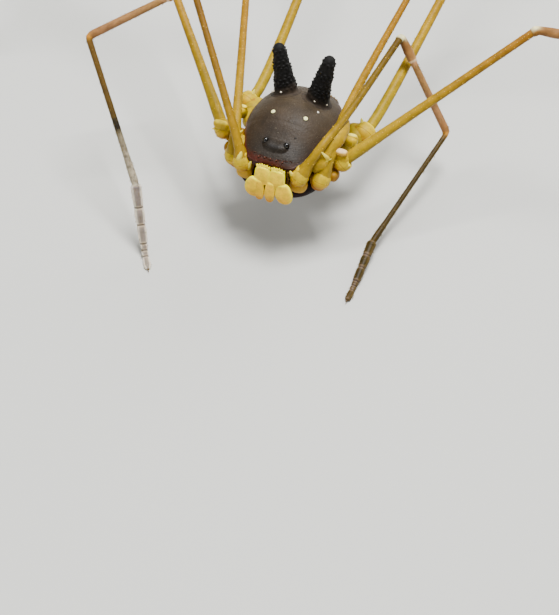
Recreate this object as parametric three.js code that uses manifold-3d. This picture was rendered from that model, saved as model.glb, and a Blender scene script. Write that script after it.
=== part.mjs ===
// A two-horned harvestman standing on its eight feet, head towards -Y.
// Millimetres, +Z up. The animal's own left is +X.
import * as THREE from 'three';
import { mergeVertices } from 'three/addons/utils/BufferGeometryUtils.js';
import Module from 'manifold-3d';

const wasm = await Module();
wasm.setup();

// Driving sizes.

const SEAM = 0.25;              // gap between pieces that touch
const RAD = Math.PI / 180;

// The body stands on its own axes: across (+ left), forward, up.
// Their zero is the middle of the line between the two horn bases.
const BODY_PLACE = new THREE.Vector3(1.6, 12.7, 9.6);
const BODY_YAW = -22 * RAD;     // head turned towards the animal's right
const BODY_PITCH = -5 * RAD;    // nose up
const BODY_ROLL = -1 * RAD;

// Back shield: [forward, half width, height of the midline]
const SHIELD = [
  [-2.75, 1.0, -1.66], [-2.55, 1.7, -1.36], [-2.0, 2.5, -0.86], [-1.0, 3.1, -0.32],
  [0.3, 3.42, 0.12], [1.8, 3.48, 0.30], [3.2, 3.2, 0.0], [4.4, 2.76, -0.74],
  [5.2, 2.32, -1.16], [5.7, 1.92, -1.42], [5.96, 1.5, -1.6], [6.06, 1.0, -1.74],
];
const RIM_HEIGHT = -1.95;       // height of the shield's sharp rim
const SHIELD_UNDER = 0.28;      // how far the underside hangs below the rim
const SHIELD_FLANK = 1.5;       // 1 makes its cross-section an ellipse, 2 a parabola
const NECK_LINE = 3.35;         // where head plate and back plate part

// Underside, with the leg bases and the belly: [forward, half width, lowest height]
const BELLY = [
  [-3.5, 0.9, -4.5], [-3.2, 1.7, -4.8], [-2.2, 2.4, -5.2], [-0.8, 2.8, -5.6],
  [1.0, 3.1, -5.9], [2.8, 3.4, -6.0], [4.2, 3.3, -5.9], [5.2, 2.85, -5.6],
  [5.8, 2.2, -5.2], [6.1, 1.4, -4.8],
];
const BELLY_TOP = RIM_HEIGHT - SHIELD_UNDER - SEAM;
const BELLY_WAIST = -4.1;       // height where the belly is widest
const MOUTH_SLOPE = 0.9;        // how far its front edge falls back towards the top

const HORN_BASE = [1.22, -0.14, -0.3];
const HORN_TIP = [1.95, -0.15, 4.02];
const HORN_LEAN = 0.22;         // how much further out the left horn's tip stands
// Horn radius along its length: [share of length, radius]
const HORN_RADII = [
  [0, 0.96], [0.08, 0.89], [0.2, 0.79], [0.4, 0.69], [0.6, 0.60], [0.78, 0.51],
  [0.9, 0.45], [0.96, 0.38], [1, 0.24],
];
// Grains on the horns: rows round each horn, and the size of one grain.
const GRAIN_ROWS = { first: 0.95, last: 3.95, step: 0.5, spread: 0.8 };
const GRAIN = { radius: 0.17, height: 0.11, root: 0.16 };

// Pegs on the front rim of the shield, "across" apart.
const PEG = { count: 5, across: 0.46, radius: 0.1, height: 0.2, root: 0.12 };
// Teeth on the top edge of each pedipalp.
const TOOTH = { count: 5, across: 0.21, radius: 0.09, height: 0.2, root: 0.14 };
// Claws at the tip of each foot; a pair stands "spread" to either side of the middle.
const CLAW = { radius: 0.13, length: 0.42, root: 0.16, spread: 0.12 };

const EYE_PLACE = [0.8, 4.86, -0.96];
const EYE_RADIUS = 0.2;
const MOUND_PLACE = [0, 4.78, -1.2];
const MOUND_HALF = [1.05, 0.62, 0.4];

// Lobes of each pedipalp: its plate, its spoon and its toe. "lean" is how far that lobe of both
// pedipalps stands off to the left. Widths are half widths: [share of length, half width].
const PALP_LOBES = [
  { lean: 0.28, points: [[0.58, 6.62, -1.95], [0.58, 6.8, -2.7], [0.62, 6.86, -3.4]],
    widths: [[0, 0.43], [0.25, 0.49], [0.75, 0.49], [1, 0.41]], thick: 0.24 },
  { lean: 0.14, points: [[1.0, 6.84, -2.95], [1.2, 7.0, -3.8], [1.14, 6.94, -4.6]],
    widths: [[0, 0.38], [0.35, 0.62], [0.7, 0.62], [1, 0.36]], thick: 0.26 },
  { lean: -0.04, points: [[0.5, 6.86, -3.0], [0.42, 7.02, -4.0], [0.4, 6.92, -4.8]],
    widths: [[0, 0.3], [0.5, 0.36], [1, 0.24]], thick: 0.26 },
];

// Leg bases on the body: root inside the belly, and the ball that carries the thigh.
// Lumps are rounded swellings: [centre, half sizes]. Spurs are blunt spines: [foot, tip, radius].
// thighStart is how far from the ball's centre the thigh starts, where a swelling lies before it.
const COXAE = {
  1: { root: [1.5, 4.7, -3.9], rootRadius: 0.7, ball: [2.25, 5.85, -2.75], ballRadius: 0.7,
    lumps: [[[2.1, 5.65, -3.6], [0.66, 0.55, 0.7]], [[1.98, 6.0, -2.2], [0.42, 0.32, 0.36]]],
    spurs: [[[1.75, 6.0, -2.9], [1.4, 6.25, -2.75], 0.24]] },
  2: { root: [2.3, 3.8, -4.2], rootRadius: 0.7, ball: [3.65, 5.0, -3.2], ballRadius: 0.7,
    lumps: [[[3.4, 4.75, -3.7], [0.62, 0.6, 0.6]], [[3.58, 4.68, -2.42], [0.5, 0.46, 0.52]]],
    spurs: [[[3.5, 4.85, -2.3], [3.3, 5.1, -1.5], 0.2]], thighStart: 1.72 },
  3: { root: [2.5, 2.2, -4.0], rootRadius: 0.8, ball: [4.75, 3.6, -2.2], ballRadius: 0.7,
    lumps: [[[4.5, 3.45, -2.7], [0.72, 0.66, 0.62]], [[4.9, 3.62, -1.55], [0.46, 0.42, 0.36]]],
    spurs: [[[5.1, 3.9, -2.3], [5.5, 4.3, -2.2], 0.3]], thighStart: 1.2 },
  4: { root: [1.9, -0.3, -4.0], rootRadius: 1.25, ball: [4.8, -1.1, -3.05], ballRadius: 0.8,
    lumps: [[[4.1, -0.9, -3.3], [0.95, 0.95, 0.85]], [[3.7, 0.4, -3.2], [0.8, 0.9, 0.7]],
      [[4.35, 1.2, -2.6], [0.58, 0.56, 0.52]]],
    spurs: [[[4.6, -1.2, -2.8], [4.35, -1.55, -2.0], 0.36]] },
};

// How far the base of one leg is drawn in towards the belly.
const DRAWN_IN = { right_leg_2: 0.3 };

// Pose: where each leg bends, on the floor's axes. "rise" guides the thigh
// near its base; "foot" is the tip of the tarsus, which lies on the floor.
const FOOT_HEIGHT = 0.2;
const POSE = {
  left_leg_1: { rise: [[3.02, 6.98, 9.75], [5.06, 10.1, 10.15]],
    knee: [9.2, 17.3, 11.2], ankle: [13.0, 14.4, 3.9], heel: [7.0, 5.4, 1.2], foot: [5.0, 0.5] },
  left_leg_2: { rise: [[3.9, 7.5, 8.9], [4.85, 10.95, 9.25]],
    knee: [10.8, 24.3, 10.8], ankle: [24.0, 27.0, 21.0], heel: [29.5, 21.5, 2.5], foot: [40, 20] },
  left_leg_3: { rise: [[5.8, 7.7, 8.7]], knee: [18.6, 13.3, 15.4], ankle: [28.5, 8.5, 17.0],
    heel: [32.0, 7.0, 1.7], foot: [38, 4] },
  left_leg_4: { rise: [[7.3, 12.9, 6.9]], knee: [16.1, 29.2, 12.8], ankle: [22.0, 39.0, 21.0],
    heel: [26.5, 46.5, 2.1], foot: [31, 54] },
  right_leg_1: { rise: [[-3.2, 8.8, 9.2]], knee: [-6.4, 17.5, 16.0], ankle: [-14.3, 16.2, 12.2],
    heel: [-10.8, 8.1, 4.7], foot: [-9.9, 3.6] },
  right_leg_2: { rise: [[-3.32, 9.4, 7.95]], knee: [-2.3, 28.3, 11.6], ankle: [-16.5, 32.0, 20.0],
    heel: [-25.5, 27.5, 2.5], foot: [-36, 27] },
  right_leg_3: { rise: [[-4.5, 11.7, 8.2]], knee: [-9.6, 25.8, 13.6], ankle: [-17.0, 33.5, 17.0],
    heel: [-20.5, 37.0, 1.7], foot: [-25, 42] },
  right_leg_4: { rise: [[-1.7, 16.3, 6.5]], knee: [5.2, 33.0, 13.8], ankle: [1.0, 44.0, 21.0],
    heel: [-2.5, 52.0, 2.1], foot: [-6, 60] },
};

// Radii along each leg piece: [share of length, radius]
const FEMUR_RADII = {
  left_leg_2: [[0, 0.42], [0.06, 0.47], [0.14, 0.44], [0.26, 0.34], [0.5, 0.3], [0.94, 0.26],
    [1, 0.29]],
  1: [[0, 0.32], [0.1, 0.34], [0.5, 0.28], [0.93, 0.26], [1, 0.28]],
  2: [[0, 0.38], [0.06, 0.4], [0.2, 0.34], [0.5, 0.3], [0.94, 0.26], [1, 0.29]],
  3: [[0, 0.4], [0.06, 0.43], [0.2, 0.38], [0.5, 0.33], [0.94, 0.29], [1, 0.32]],
  4: [[0, 0.38], [0.1, 0.4], [0.5, 0.36], [0.94, 0.31], [1, 0.34]],
};
const PATELLA_LENGTH = { 1: 2.0, 2: 2.6, 3: 2.3, 4: 2.6 };
const PATELLA_RADIUS = 0.32;
const TIBIA_RADIUS = 0.26;
const METATARSUS_RADIUS = 0.25;
const evenly = (count) => Array.from({ length: count + 1 }, (_, i) => i / count);
const TARSUS = {  // where its rings part, as shares of its length, and the radii of the rings
  1: { joints: [0, 0.31, 0.49, 0.69, 0.76, 0.83, 1], radii: [0.37, 0.38, 0.36, 0.27, 0.27, 0.28],
    claws: 1 },
  2: { joints: evenly(12), radii: Array(12).fill(0.28), claws: 1 },
  3: { joints: evenly(7), radii: Array(7).fill(0.29), claws: 2 },
  4: { joints: evenly(8), radii: Array(8).fill(0.29), claws: 2 },
};
const JOINT_RADIUS = 0.25;      // tarsus radius in the grooves between its rings

// Materials.

function paint(color, roughness) {
  return new THREE.MeshStandardMaterial({ color, roughness, metalness: 0 });
}
const SHELL = paint('#4d443f', 0.75);
const HORN = paint('#141416', 0.6);
const EYE = paint('#070708', 0.1);
const BELLY_SKIN = paint('#2a1210', 0.35);
const YELLOW = paint('#c99c1e', 0.5);
const THIGH = paint('#b8860f', 0.5);
const SHIN = paint('#a5764d', 0.5);
const DARK_LEG = paint('#5b4a1f', 0.5);
const FOOT = paint('#8a7f74', 0.6);

// Shaping helpers.

// A point on the body's axes: across (+ left), forward, up.
function onBody([across, forward, up], side = 1) {
  return new THREE.Vector3(side * across, -forward, up);
}

// Value of a table of [position, value, ...] rows, eased between its rows.
function along(table, position, column = 1) {
  const last = table.length - 1;
  if (position <= table[0][0]) return table[0][column];
  if (position >= table[last][0]) return table[last][column];
  const i = table.findIndex((row) => row[0] > position) - 1;
  const row = (k) => table[Math.min(last, Math.max(0, k))];
  const [x0, x1, x2, x3] = [-1, 0, 1, 2].map((k) => row(i + k)[0]);
  const [y0, y1, y2, y3] = [-1, 0, 1, 2].map((k) => row(i + k)[column]);
  const t = (position - x1) / (x2 - x1);
  const slope1 = x2 > x0 ? (y2 - y0) / (x2 - x0) * (x2 - x1) : 0;
  const slope2 = x3 > x1 ? (y3 - y1) / (x3 - x1) * (x2 - x1) : 0;
  const t2 = t * t;
  const t3 = t2 * t;
  return (2 * t3 - 3 * t2 + 1) * y1 + (t3 - 2 * t2 + t) * slope1
    + (3 * t2 - 2 * t3) * y2 + (t3 - t2) * slope2;
}

// Closed skin over a row of rings that all have the same number of points.
function loft(rings) {
  const count = rings[0].length;
  const points = rings.flat();
  const faces = [];
  for (let r = 0; r + 1 < rings.length; r += 1) {
    for (let i = 0; i < count; i += 1) {
      const a = r * count + i;
      const b = r * count + (i + 1) % count;
      faces.push(a, b, b + count, a, b + count, a + count);
    }
  }
  const middle = (ring) => ring.reduce((sum, p) => sum.add(p), new THREE.Vector3())
    .divideScalar(count);
  points.push(middle(rings[0]), middle(rings[rings.length - 1]));
  const lastRing = (rings.length - 1) * count;
  for (let i = 0; i < count; i += 1) {
    const next = (i + 1) % count;
    faces.push(points.length - 2, next, i);
    faces.push(points.length - 1, lastRing + i, lastRing + next);
  }
  const geometry = new THREE.BufferGeometry().setFromPoints(points);
  geometry.setIndex(faces);
  return facingOut(geometry);
}

function volume(geometry) {
  const p = geometry.attributes.position;
  const index = geometry.index.array;
  const [a, b, c] = [new THREE.Vector3(), new THREE.Vector3(), new THREE.Vector3()];
  let sum = 0;
  for (let i = 0; i < index.length; i += 3) {
    a.fromBufferAttribute(p, index[i]);
    b.fromBufferAttribute(p, index[i + 1]);
    c.fromBufferAttribute(p, index[i + 2]);
    sum += a.dot(b.cross(c)) / 6;
  }
  return sum;
}

function facingOut(geometry) {
  if (volume(geometry) < 0) {
    const index = geometry.index.array;
    for (let i = 0; i < index.length; i += 3) {
      [index[i + 1], index[i + 2]] = [index[i + 2], index[i + 1]];
    }
  }
  return geometry;
}

// Round limb along a path. radii: [share of length, radius] rows; the ends are domed.
function limb(path, radii, { sides = 8, start = 0, end = 1, rings = 8 } = {}) {
  const shares = radii.map(([share]) => share);
  for (let i = 0; i <= rings; i += 1) {
    if (!shares.some((s) => Math.abs(s - i / rings) < 0.4 / rings)) shares.push(i / rings);
  }
  shares.sort((a, b) => a - b);
  const length = path.getLength();
  const span = (end - start) * length;
  const guide = new THREE.Vector3(0, 0, 1);
  const rows = [];
  const addRing = (distance, radius) => {
    const u = THREE.MathUtils.clamp((start * length + distance) / length, 0, 1);
    const centre = path.getPointAt(u);
    const tangent = path.getTangentAt(u);
    const across = new THREE.Vector3().crossVectors(guide, tangent).normalize();
    const up = new THREE.Vector3().crossVectors(tangent, across);
    const ring = [];
    for (let i = 0; i < sides; i += 1) {
      const angle = (i + 0.5) * 2 * Math.PI / sides;
      ring.push(centre.clone().addScaledVector(across, radius * Math.cos(angle))
        .addScaledVector(up, radius * Math.sin(angle)));
    }
    rows.push(ring);
  };
  const first = along(radii, 0);
  const last = along(radii, 1);
  addRing(0, first * 0.62);
  shares.forEach((share) => {
    const distance = THREE.MathUtils.clamp(share * span, first * 0.3, span - last * 0.3);
    addRing(distance, along(radii, share));
  });
  addRing(span, last * 0.62);
  return loft(rows);
}

function toSolid(geometry) {
  const bare = geometry.clone();
  bare.deleteAttribute('normal');
  bare.deleteAttribute('uv');
  const merged = mergeVertices(bare, 1e-4);
  return new wasm.Manifold(new wasm.Mesh({
    numProp: 3,
    vertProperties: new Float32Array(merged.attributes.position.array),
    triVerts: new Uint32Array(merged.index.array),
  }));
}

// Geometry of a solid's largest closed body.
function fromSolid(solid) {
  const bodies = solid.decompose();
  bodies.sort((a, b) => b.volume() - a.volume());
  const mesh = bodies[0].getMesh();
  const geometry = new THREE.BufferGeometry();
  geometry.setAttribute('position', new THREE.BufferAttribute(mesh.vertProperties, 3));
  geometry.setIndex(new THREE.BufferAttribute(mesh.triVerts, 1));
  return geometry;
}

function ball(radius, [x, y, z] = [1, 1, 1], detail = 12) {
  const geometry = new THREE.SphereGeometry(radius, detail, Math.round(detail * 0.7));
  return geometry.scale(x, y, z);
}

// Small cone on a surface: seat is the point on the surface, out its direction, tip the
// share of its radius that is left at the blunt end.
function cone(seat, out, { radius, height, root, tip = 0 }, sides = 5) {
  const geometry = new THREE.CylinderGeometry(radius * tip, radius, height + root, sides);
  geometry.translate(0, (height - root) / 2, 0);
  const turn = new THREE.Quaternion()
    .setFromUnitVectors(new THREE.Vector3(0, 1, 0), out.clone().normalize());
  return geometry.applyQuaternion(turn).translate(seat.x, seat.y, seat.z);
}

function moved(geometry, place) {
  return geometry.clone().translate(place.x, place.y, place.z);
}

const model = new THREE.Group();
const body = new THREE.Group();
body.position.copy(BODY_PLACE);
body.rotation.set(BODY_PITCH, BODY_ROLL, BODY_YAW, 'ZXY');
body.updateMatrixWorld(true);
model.add(body);

function node(parent, name, geometry, material) {
  const mesh = new THREE.Mesh(geometry, material);
  mesh.name = name;
  parent.add(mesh);
}

// Back shield, belly and tail plates.

// Slice of the back shield between two stations; grow swells it all round.
function shieldPiece(from, to, grow = 0) {
  const stations = [from];
  for (let f = Math.ceil(from * 2 + 0.2) / 2; f < to - 0.15; f += 0.5) stations.push(f);
  SHIELD.forEach(([f]) => {
    if (f > from + 0.05 && f < to - 0.05 && !stations.some((s) => Math.abs(s - f) < 0.12)) {
      stations.push(f);
    }
  });
  stations.push(to);
  stations.sort((a, b) => a - b);
  const count = 24;
  return loft(stations.map((forward) => {
    const half = along(SHIELD, forward, 1) + grow;
    const rise = along(SHIELD, forward, 2) - RIM_HEIGHT + grow;
    const ring = [];
    for (let i = 0; i < count; i += 1) {
      const angle = i * 2 * Math.PI / count;
      const wide = Math.cos(angle);
      const high = Math.sin(angle);
      const x = half * Math.sign(wide) * Math.abs(wide) ** 0.9;
      const z = high > 0 ? rise * high ** SHIELD_FLANK : -(SHIELD_UNDER + grow) * Math.abs(high) ** 0.6;
      ring.push(new THREE.Vector3(x, -forward, RIM_HEIGHT + z));
    }
    return ring;
  }));
}

const SHIELD_REAR = SHIELD[0][0];
const SHIELD_FRONT = SHIELD[SHIELD.length - 1][0];
const swollenShield = toSolid(shieldPiece(SHIELD_REAR - SEAM, SHIELD_FRONT + SEAM, SEAM));

function carapace() {
  const plate = toSolid(shieldPiece(NECK_LINE + SEAM / 2, SHIELD_FRONT));
  const mound = toSolid(moved(ball(1, MOUND_HALF, 16), onBody(MOUND_PLACE)));
  let solid = plate.add(mound);
  for (let i = 0; i < PEG.count; i += 1) {
    const across = (i - (PEG.count - 1) / 2) * PEG.across;
    const seat = onBody([across, 5.94, -1.6 - 0.06 * across ** 2]);
    solid = solid.add(toSolid(cone(seat, onBody([0, 0.5, 0.85]), PEG)));
  }
  for (const side of [1, -1]) {
    const socket = moved(ball(EYE_RADIUS + 0.1, [1, 1, 1], 12), onBody(EYE_PLACE, side));
    solid = solid.subtract(toSolid(socket));
  }
  return fromSolid(solid);
}

function belly(grow = 0) {
  const stations = [];
  const rear = BELLY[0][0];
  const front = BELLY[BELLY.length - 1][0];
  for (let i = 0; i <= 12; i += 1) stations.push(rear + (front - rear) * i / 12);
  const count = 20;
  const rows = stations.map((forward) => {
    const half = along(BELLY, forward, 1) + grow;
    const low = BELLY_WAIST - along(BELLY, forward, 2) + grow;
    const high = BELLY_TOP - BELLY_WAIST + grow;
    const ring = [];
    for (let i = 0; i < count; i += 1) {
      const angle = i * 2 * Math.PI / count;
      const c = Math.cos(angle);
      const s = Math.sin(angle);
      const z = s > 0 ? high * s ** 0.7 : -low * Math.abs(s) ** 0.85;
      const reach = forward < rear + 0.01 ? -grow : forward > front - 0.01 ? grow : 0;
      const lean = s > 0 ? MOUTH_SLOPE * s * Math.max(0, (forward - 2) / (front - 2)) : 0;
      ring.push(new THREE.Vector3(half * Math.sign(c) * Math.abs(c) ** 0.8,
        lean - forward - reach, BELLY_WAIST + z));
    }
    return ring;
  });
  return loft(rows);
}
const swollenBelly = toSolid(belly(SEAM));

node(body, 'carapace', carapace(), SHELL);
node(body, 'back_shield', shieldPiece(SHIELD_REAR, NECK_LINE - SEAM / 2), SHELL);
node(body, 'belly', belly(), BELLY_SKIN);

// Horns and eyes.

function horn(side) {
  const lean = side > 0 ? HORN_LEAN : 0;
  const [across, forward, up] = HORN_TIP;
  const path = new THREE.LineCurve3(onBody(HORN_BASE, side),
    onBody([across + lean, forward, up], side));
  const length = path.getLength();
  const axis = path.getTangentAt(0);
  const beside = new THREE.Vector3(0, 1, 0).cross(axis).normalize();
  const ahead = axis.clone().cross(beside);
  const grains = [];
  let row = 0;
  for (let d = GRAIN_ROWS.first; d <= GRAIN_ROWS.last; d += GRAIN_ROWS.step) {
    const radius = along(HORN_RADII, d / length);
    const count = Math.round(2 * Math.PI * radius / GRAIN_ROWS.spread);
    for (let i = 0; i < count; i += 1) {
      const angle = (i + (row % 2) / 2 + 0.1 * Math.sin(5 * i + row)) * 2 * Math.PI / count;
      const out = beside.clone().multiplyScalar(Math.cos(angle))
        .addScaledVector(ahead, Math.sin(angle));
      const seat = path.getPointAt(d / length).addScaledVector(out, radius);
      grains.push(toSolid(cone(seat, out.addScaledVector(axis, 0.25), GRAIN)));
    }
    row += 1;
  }
  const shaft = toSolid(limb(path, HORN_RADII, { sides: 12, rings: 8 }));
  return fromSolid(wasm.Manifold.union([shaft, ...grains]).subtract(swollenShield));
}

for (const [name, side] of [['left', 1], ['right', -1]]) {
  node(body, `${name}_horn`, horn(side), HORN);
  node(body, `${name}_eye`, moved(ball(EYE_RADIUS, [1, 1, 1], 12), onBody(EYE_PLACE, side)), EYE);
}

// Mouthparts.

function chelicera(side) {
  const hump = moved(ball(1, [0.3, 0.42, 0.5], 12), onBody([0.42, 5.75, -2.85], side));
  const path = new THREE.CatmullRomCurve3([onBody([0.42, 5.85, -3.0], side),
    onBody([0.4, 6.0, -3.6], side), onBody([0.36, 5.85, -4.1], side)]);
  const hand = limb(path, [[0, 0.28], [0.5, 0.27], [1, 0.14]], { rings: 5 });
  return fromSolid(toSolid(hump).add(toSolid(hand)).subtract(swollenBelly)
    .subtract(swollenShield));
}

function pedipalp(side) {
  const pieces = PALP_LOBES.map(({ lean, points, widths, thick }) => flatLobe(
    new THREE.CatmullRomCurve3(points.map(([across, forward, up]) => (
      onBody([across + side * lean, forward, up], side)
    ))), widths, thick));
  const { lean, points } = PALP_LOBES[0];
  const [across, forward, up] = points[0];
  for (let i = 0; i < TOOTH.count; i += 1) {
    const off = (i - (TOOTH.count - 1) / 2) * TOOTH.across;
    const seat = onBody([across + side * lean + off, forward, up], side);
    pieces.push(cone(seat, onBody([off * 0.5, 0.1, 1], side), TOOTH));
  }
  return fromSolid(wasm.Manifold.union(pieces.map(toSolid)));
}

// Lobe that is flat from front to back: half widths along a path, one half thickness.
function flatLobe(path, halfWidths, halfThick) {
  const rows = [];
  const sides = 8;
  const rings = 6;
  const ahead = new THREE.Vector3(0, -1, 0);
  for (let r = 0; r <= rings; r += 1) {
    const share = r / rings;
    const centre = path.getPointAt(share);
    const tangent = path.getTangentAt(share);
    const wide = new THREE.Vector3().crossVectors(ahead, tangent).normalize();
    const thick = new THREE.Vector3().crossVectors(tangent, wide);
    const closing = r === 0 || r === rings ? 0.6 : 1;
    const ring = [];
    for (let i = 0; i < sides; i += 1) {
      const angle = (i + 0.5) * 2 * Math.PI / sides;
      ring.push(centre.clone()
        .addScaledVector(wide, closing * along(halfWidths, share) * Math.cos(angle))
        .addScaledVector(thick, closing * halfThick * Math.sin(angle)));
    }
    rows.push(ring);
  }
  return loft(rows);
}

for (const [name, side] of [['left', 1], ['right', -1]]) {
  node(body, `${name}_chelicera`, chelicera(side), YELLOW);
  node(body, `${name}_pedipalp`, pedipalp(side), YELLOW);
}

// Tail plates.

function tailPlates() {
  const rows = [];
  const count = 16;
  for (let r = 0; r <= 8; r += 1) {
    const share = r / 8;
    const turn = share * 75 * RAD;
    const forward = -2.2 - 1.35 * Math.sin(turn) - 0.75;
    const up = -2.6 - 1.2 * (1 - Math.cos(turn)) - share * 0.5;
    const half = 1.9 - 0.9 * share ** 1.5 + (r % 3 === 1 ? 0.08 : 0);
    const high = 0.5 - 0.1 * share;
    const ring = [];
    for (let i = 0; i < count; i += 1) {
      const angle = i * 2 * Math.PI / count;
      const out = high * Math.sin(angle);
      ring.push(new THREE.Vector3(half * Math.cos(angle), -forward + out * Math.sin(turn),
        up + out * Math.cos(turn)));
    }
    rows.push(ring);
  }
  return fromSolid(toSolid(loft(rows)).subtract(swollenBelly).subtract(swollenShield));
}
node(body, 'tail_plates', tailPlates(), SHELL);

// Legs.

function legBase(name, side, number) {
  const { root, rootRadius, ball: place, ballRadius, lumps, spurs } = COXAE[number];
  const drawnIn = DRAWN_IN[name] ?? 0;
  const onBase = ([across, forward, up]) => onBody([across - drawnIn, forward, up], side);
  const path = new THREE.LineCurve3(onBody(root, side), onBase(place));
  const pieces = [
    limb(path, [[0, rootRadius], [1, ballRadius * 0.85]], { sides: 9, rings: 3 }),
    moved(ball(ballRadius, [1, 1, 1], 10), onBase(place)),
    ...lumps.map(([centre, halves]) => moved(ball(1, halves, 8), onBase(centre))),
  ];
  spurs.forEach(([from, to, radius]) => {
    const start = onBase(from);
    const out = onBase(to).sub(start);
    pieces.push(cone(start, out, { radius, height: out.length(), root: 0.1, tip: 0.3 }, 7));
  });
  return fromSolid(wasm.Manifold.union(pieces.map(toSolid)).subtract(swollenBelly)
    .subtract(swollenShield));
}

// Part of a path that stops short of its two ends by the given lengths.
function trimmed(path, before, after) {
  const length = path.getLength();
  return { start: before / length, end: 1 - after / length };
}

// How far two pieces of this radius stop short of the bend where they meet.
function setBack(pathBefore, pathAfter, radius) {
  const turn = pathBefore.getTangentAt(1).angleTo(pathAfter.getTangentAt(0));
  return SEAM / 2 / Math.cos(turn / 2) + radius * 0.75 * Math.tan(turn / 2);
}

function flattenSole(geometry) {
  const p = geometry.attributes.position;
  for (let i = 0; i < p.count; i += 1) p.setZ(i, Math.max(0, p.getZ(i)));
  return geometry;
}

function buildLeg(name, side, number) {
  const { rise, knee, ankle, heel, foot } = POSE[name];
  const { ball: place, ballRadius, thighStart = ballRadius + SEAM } = COXAE[number];
  const [across, forward, up] = place;
  const hip = onBody([across - (DRAWN_IN[name] ?? 0), forward, up], side)
    .applyMatrix4(body.matrixWorld);
  const [kneePoint, anklePoint, heelPoint, ...risePoints] = [knee, ankle, heel, ...rise]
    .map((p) => new THREE.Vector3(...p));
  const toe = new THREE.Vector3(foot[0], foot[1], FOOT_HEIGHT);
  const back = heelPoint.clone().sub(toe).setZ(0).normalize();
  const sole = toe.clone().addScaledVector(back, number === 1 ? 1.2 : 1.6);

  const thigh = new THREE.CatmullRomCurve3([hip, ...risePoints, kneePoint]);
  const shin = new THREE.LineCurve3(kneePoint, anklePoint);
  const shank = new THREE.LineCurve3(anklePoint, heelPoint);
  const tarsus = new THREE.CatmullRomCurve3([heelPoint, sole, toe]);
  const atKnee = setBack(thigh, shin, PATELLA_RADIUS);
  const atAnkle = setBack(shin, shank, TIBIA_RADIUS);
  const { joints, radii, claws } = TARSUS[number];
  const atHeel = setBack(shank, tarsus, radii[0]);

  node(body, `${name}_coxa`, legBase(name, side, number), YELLOW);
  node(model, `${name}_femur`, limb(thigh, FEMUR_RADII[name] ?? FEMUR_RADII[number], {
    ...trimmed(thigh, thighStart, atKnee), rings: 9,
  }), THIGH);

  const patella = PATELLA_LENGTH[number] / shin.getLength();
  const shinRadii = [[0, PATELLA_RADIUS * 0.85], [patella * 0.7, PATELLA_RADIUS],
    [patella * 1.2, TIBIA_RADIUS], [0.92, TIBIA_RADIUS], [1, TIBIA_RADIUS + 0.03]];
  node(model, `${name}_tibia`, limb(shin, shinRadii, {
    ...trimmed(shin, atKnee, atAnkle), rings: 3,
  }), SHIN);

  const shankRadii = [[0, METATARSUS_RADIUS + 0.02], [0.1, METATARSUS_RADIUS],
    [1, METATARSUS_RADIUS]];
  node(model, `${name}_metatarsus`, limb(shank, shankRadii, {
    ...trimmed(shank, atAnkle, atHeel), rings: 2,
  }), DARK_LEG);

  const tarsusRadii = [[0, radii[0] - 0.03]];
  radii.forEach((radius, i) => {
    if (i > 0) tarsusRadii.push([joints[i], JOINT_RADIUS]);
    tarsusRadii.push([(joints[i] + joints[i + 1]) / 2, radius]);
  });
  tarsusRadii.push([1, JOINT_RADIUS]);
  const rings = limb(tarsus, tarsusRadii, { ...trimmed(tarsus, atHeel, 0), rings: radii.length });
  const pieces = [flattenSole(rings)];
  const beside = back.clone().cross(new THREE.Vector3(0, 0, 1));
  for (let i = 0; i < claws; i += 1) {
    const off = (i - (claws - 1) / 2) * 2 * CLAW.spread;
    const seat = toe.clone().addScaledVector(beside, off);
    const out = back.clone().negate().addScaledVector(beside, off).setZ(-0.2);
    pieces.push(cone(seat, out, { ...CLAW, height: CLAW.length }));
  }
  node(model, `${name}_tarsus`, fromSolid(wasm.Manifold.union(pieces.map(toSolid))), FOOT);
}

for (const [name, side] of [['left', 1], ['right', -1]]) {
  for (const number of [1, 2, 3, 4]) buildLeg(`${name}_leg_${number}`, side, number);
}

// Place the origin under the middle of the whole animal.

model.updateMatrixWorld(true);
const box = new THREE.Box3().setFromObject(model, true);
model.position.set(-(box.min.x + box.max.x) / 2, -(box.min.y + box.max.y) / 2, -box.min.z);
model.updateMatrixWorld(true);

export default model;
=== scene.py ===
"""A two-horned harvestman that stands still on its eight feet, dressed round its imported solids."""

import bpy
import numpy as np
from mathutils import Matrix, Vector


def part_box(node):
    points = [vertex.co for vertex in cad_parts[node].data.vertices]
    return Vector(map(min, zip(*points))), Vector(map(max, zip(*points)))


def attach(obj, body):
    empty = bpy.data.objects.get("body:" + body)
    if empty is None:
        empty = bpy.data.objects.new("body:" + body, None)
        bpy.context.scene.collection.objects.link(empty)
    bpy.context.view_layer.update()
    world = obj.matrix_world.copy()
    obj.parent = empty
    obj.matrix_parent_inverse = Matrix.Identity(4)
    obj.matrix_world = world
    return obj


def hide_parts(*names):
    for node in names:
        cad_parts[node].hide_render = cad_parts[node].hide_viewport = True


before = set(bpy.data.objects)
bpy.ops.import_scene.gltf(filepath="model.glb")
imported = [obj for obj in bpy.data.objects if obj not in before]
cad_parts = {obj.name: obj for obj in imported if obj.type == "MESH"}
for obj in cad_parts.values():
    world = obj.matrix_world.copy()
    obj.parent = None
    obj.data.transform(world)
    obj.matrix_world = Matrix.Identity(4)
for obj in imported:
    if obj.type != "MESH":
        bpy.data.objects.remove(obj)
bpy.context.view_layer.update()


# The body's axes
# The body is laid out in millimetres on its own axes: across (+ to the animal's left), forward
# and up, with zero midway between the horn bases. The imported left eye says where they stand.
BODY_PLACE = np.array([1.6, 12.7, 9.6])
YAW, PITCH, ROLL = np.radians([-22.0, -5.0, -1.0])
EYE = np.array([0.8, 4.86, -0.96])
EYE_RADIUS = 0.2  # of the solid; the bead over it is a little larger
SIDES = [("left", 1), ("right", -1)]


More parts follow.
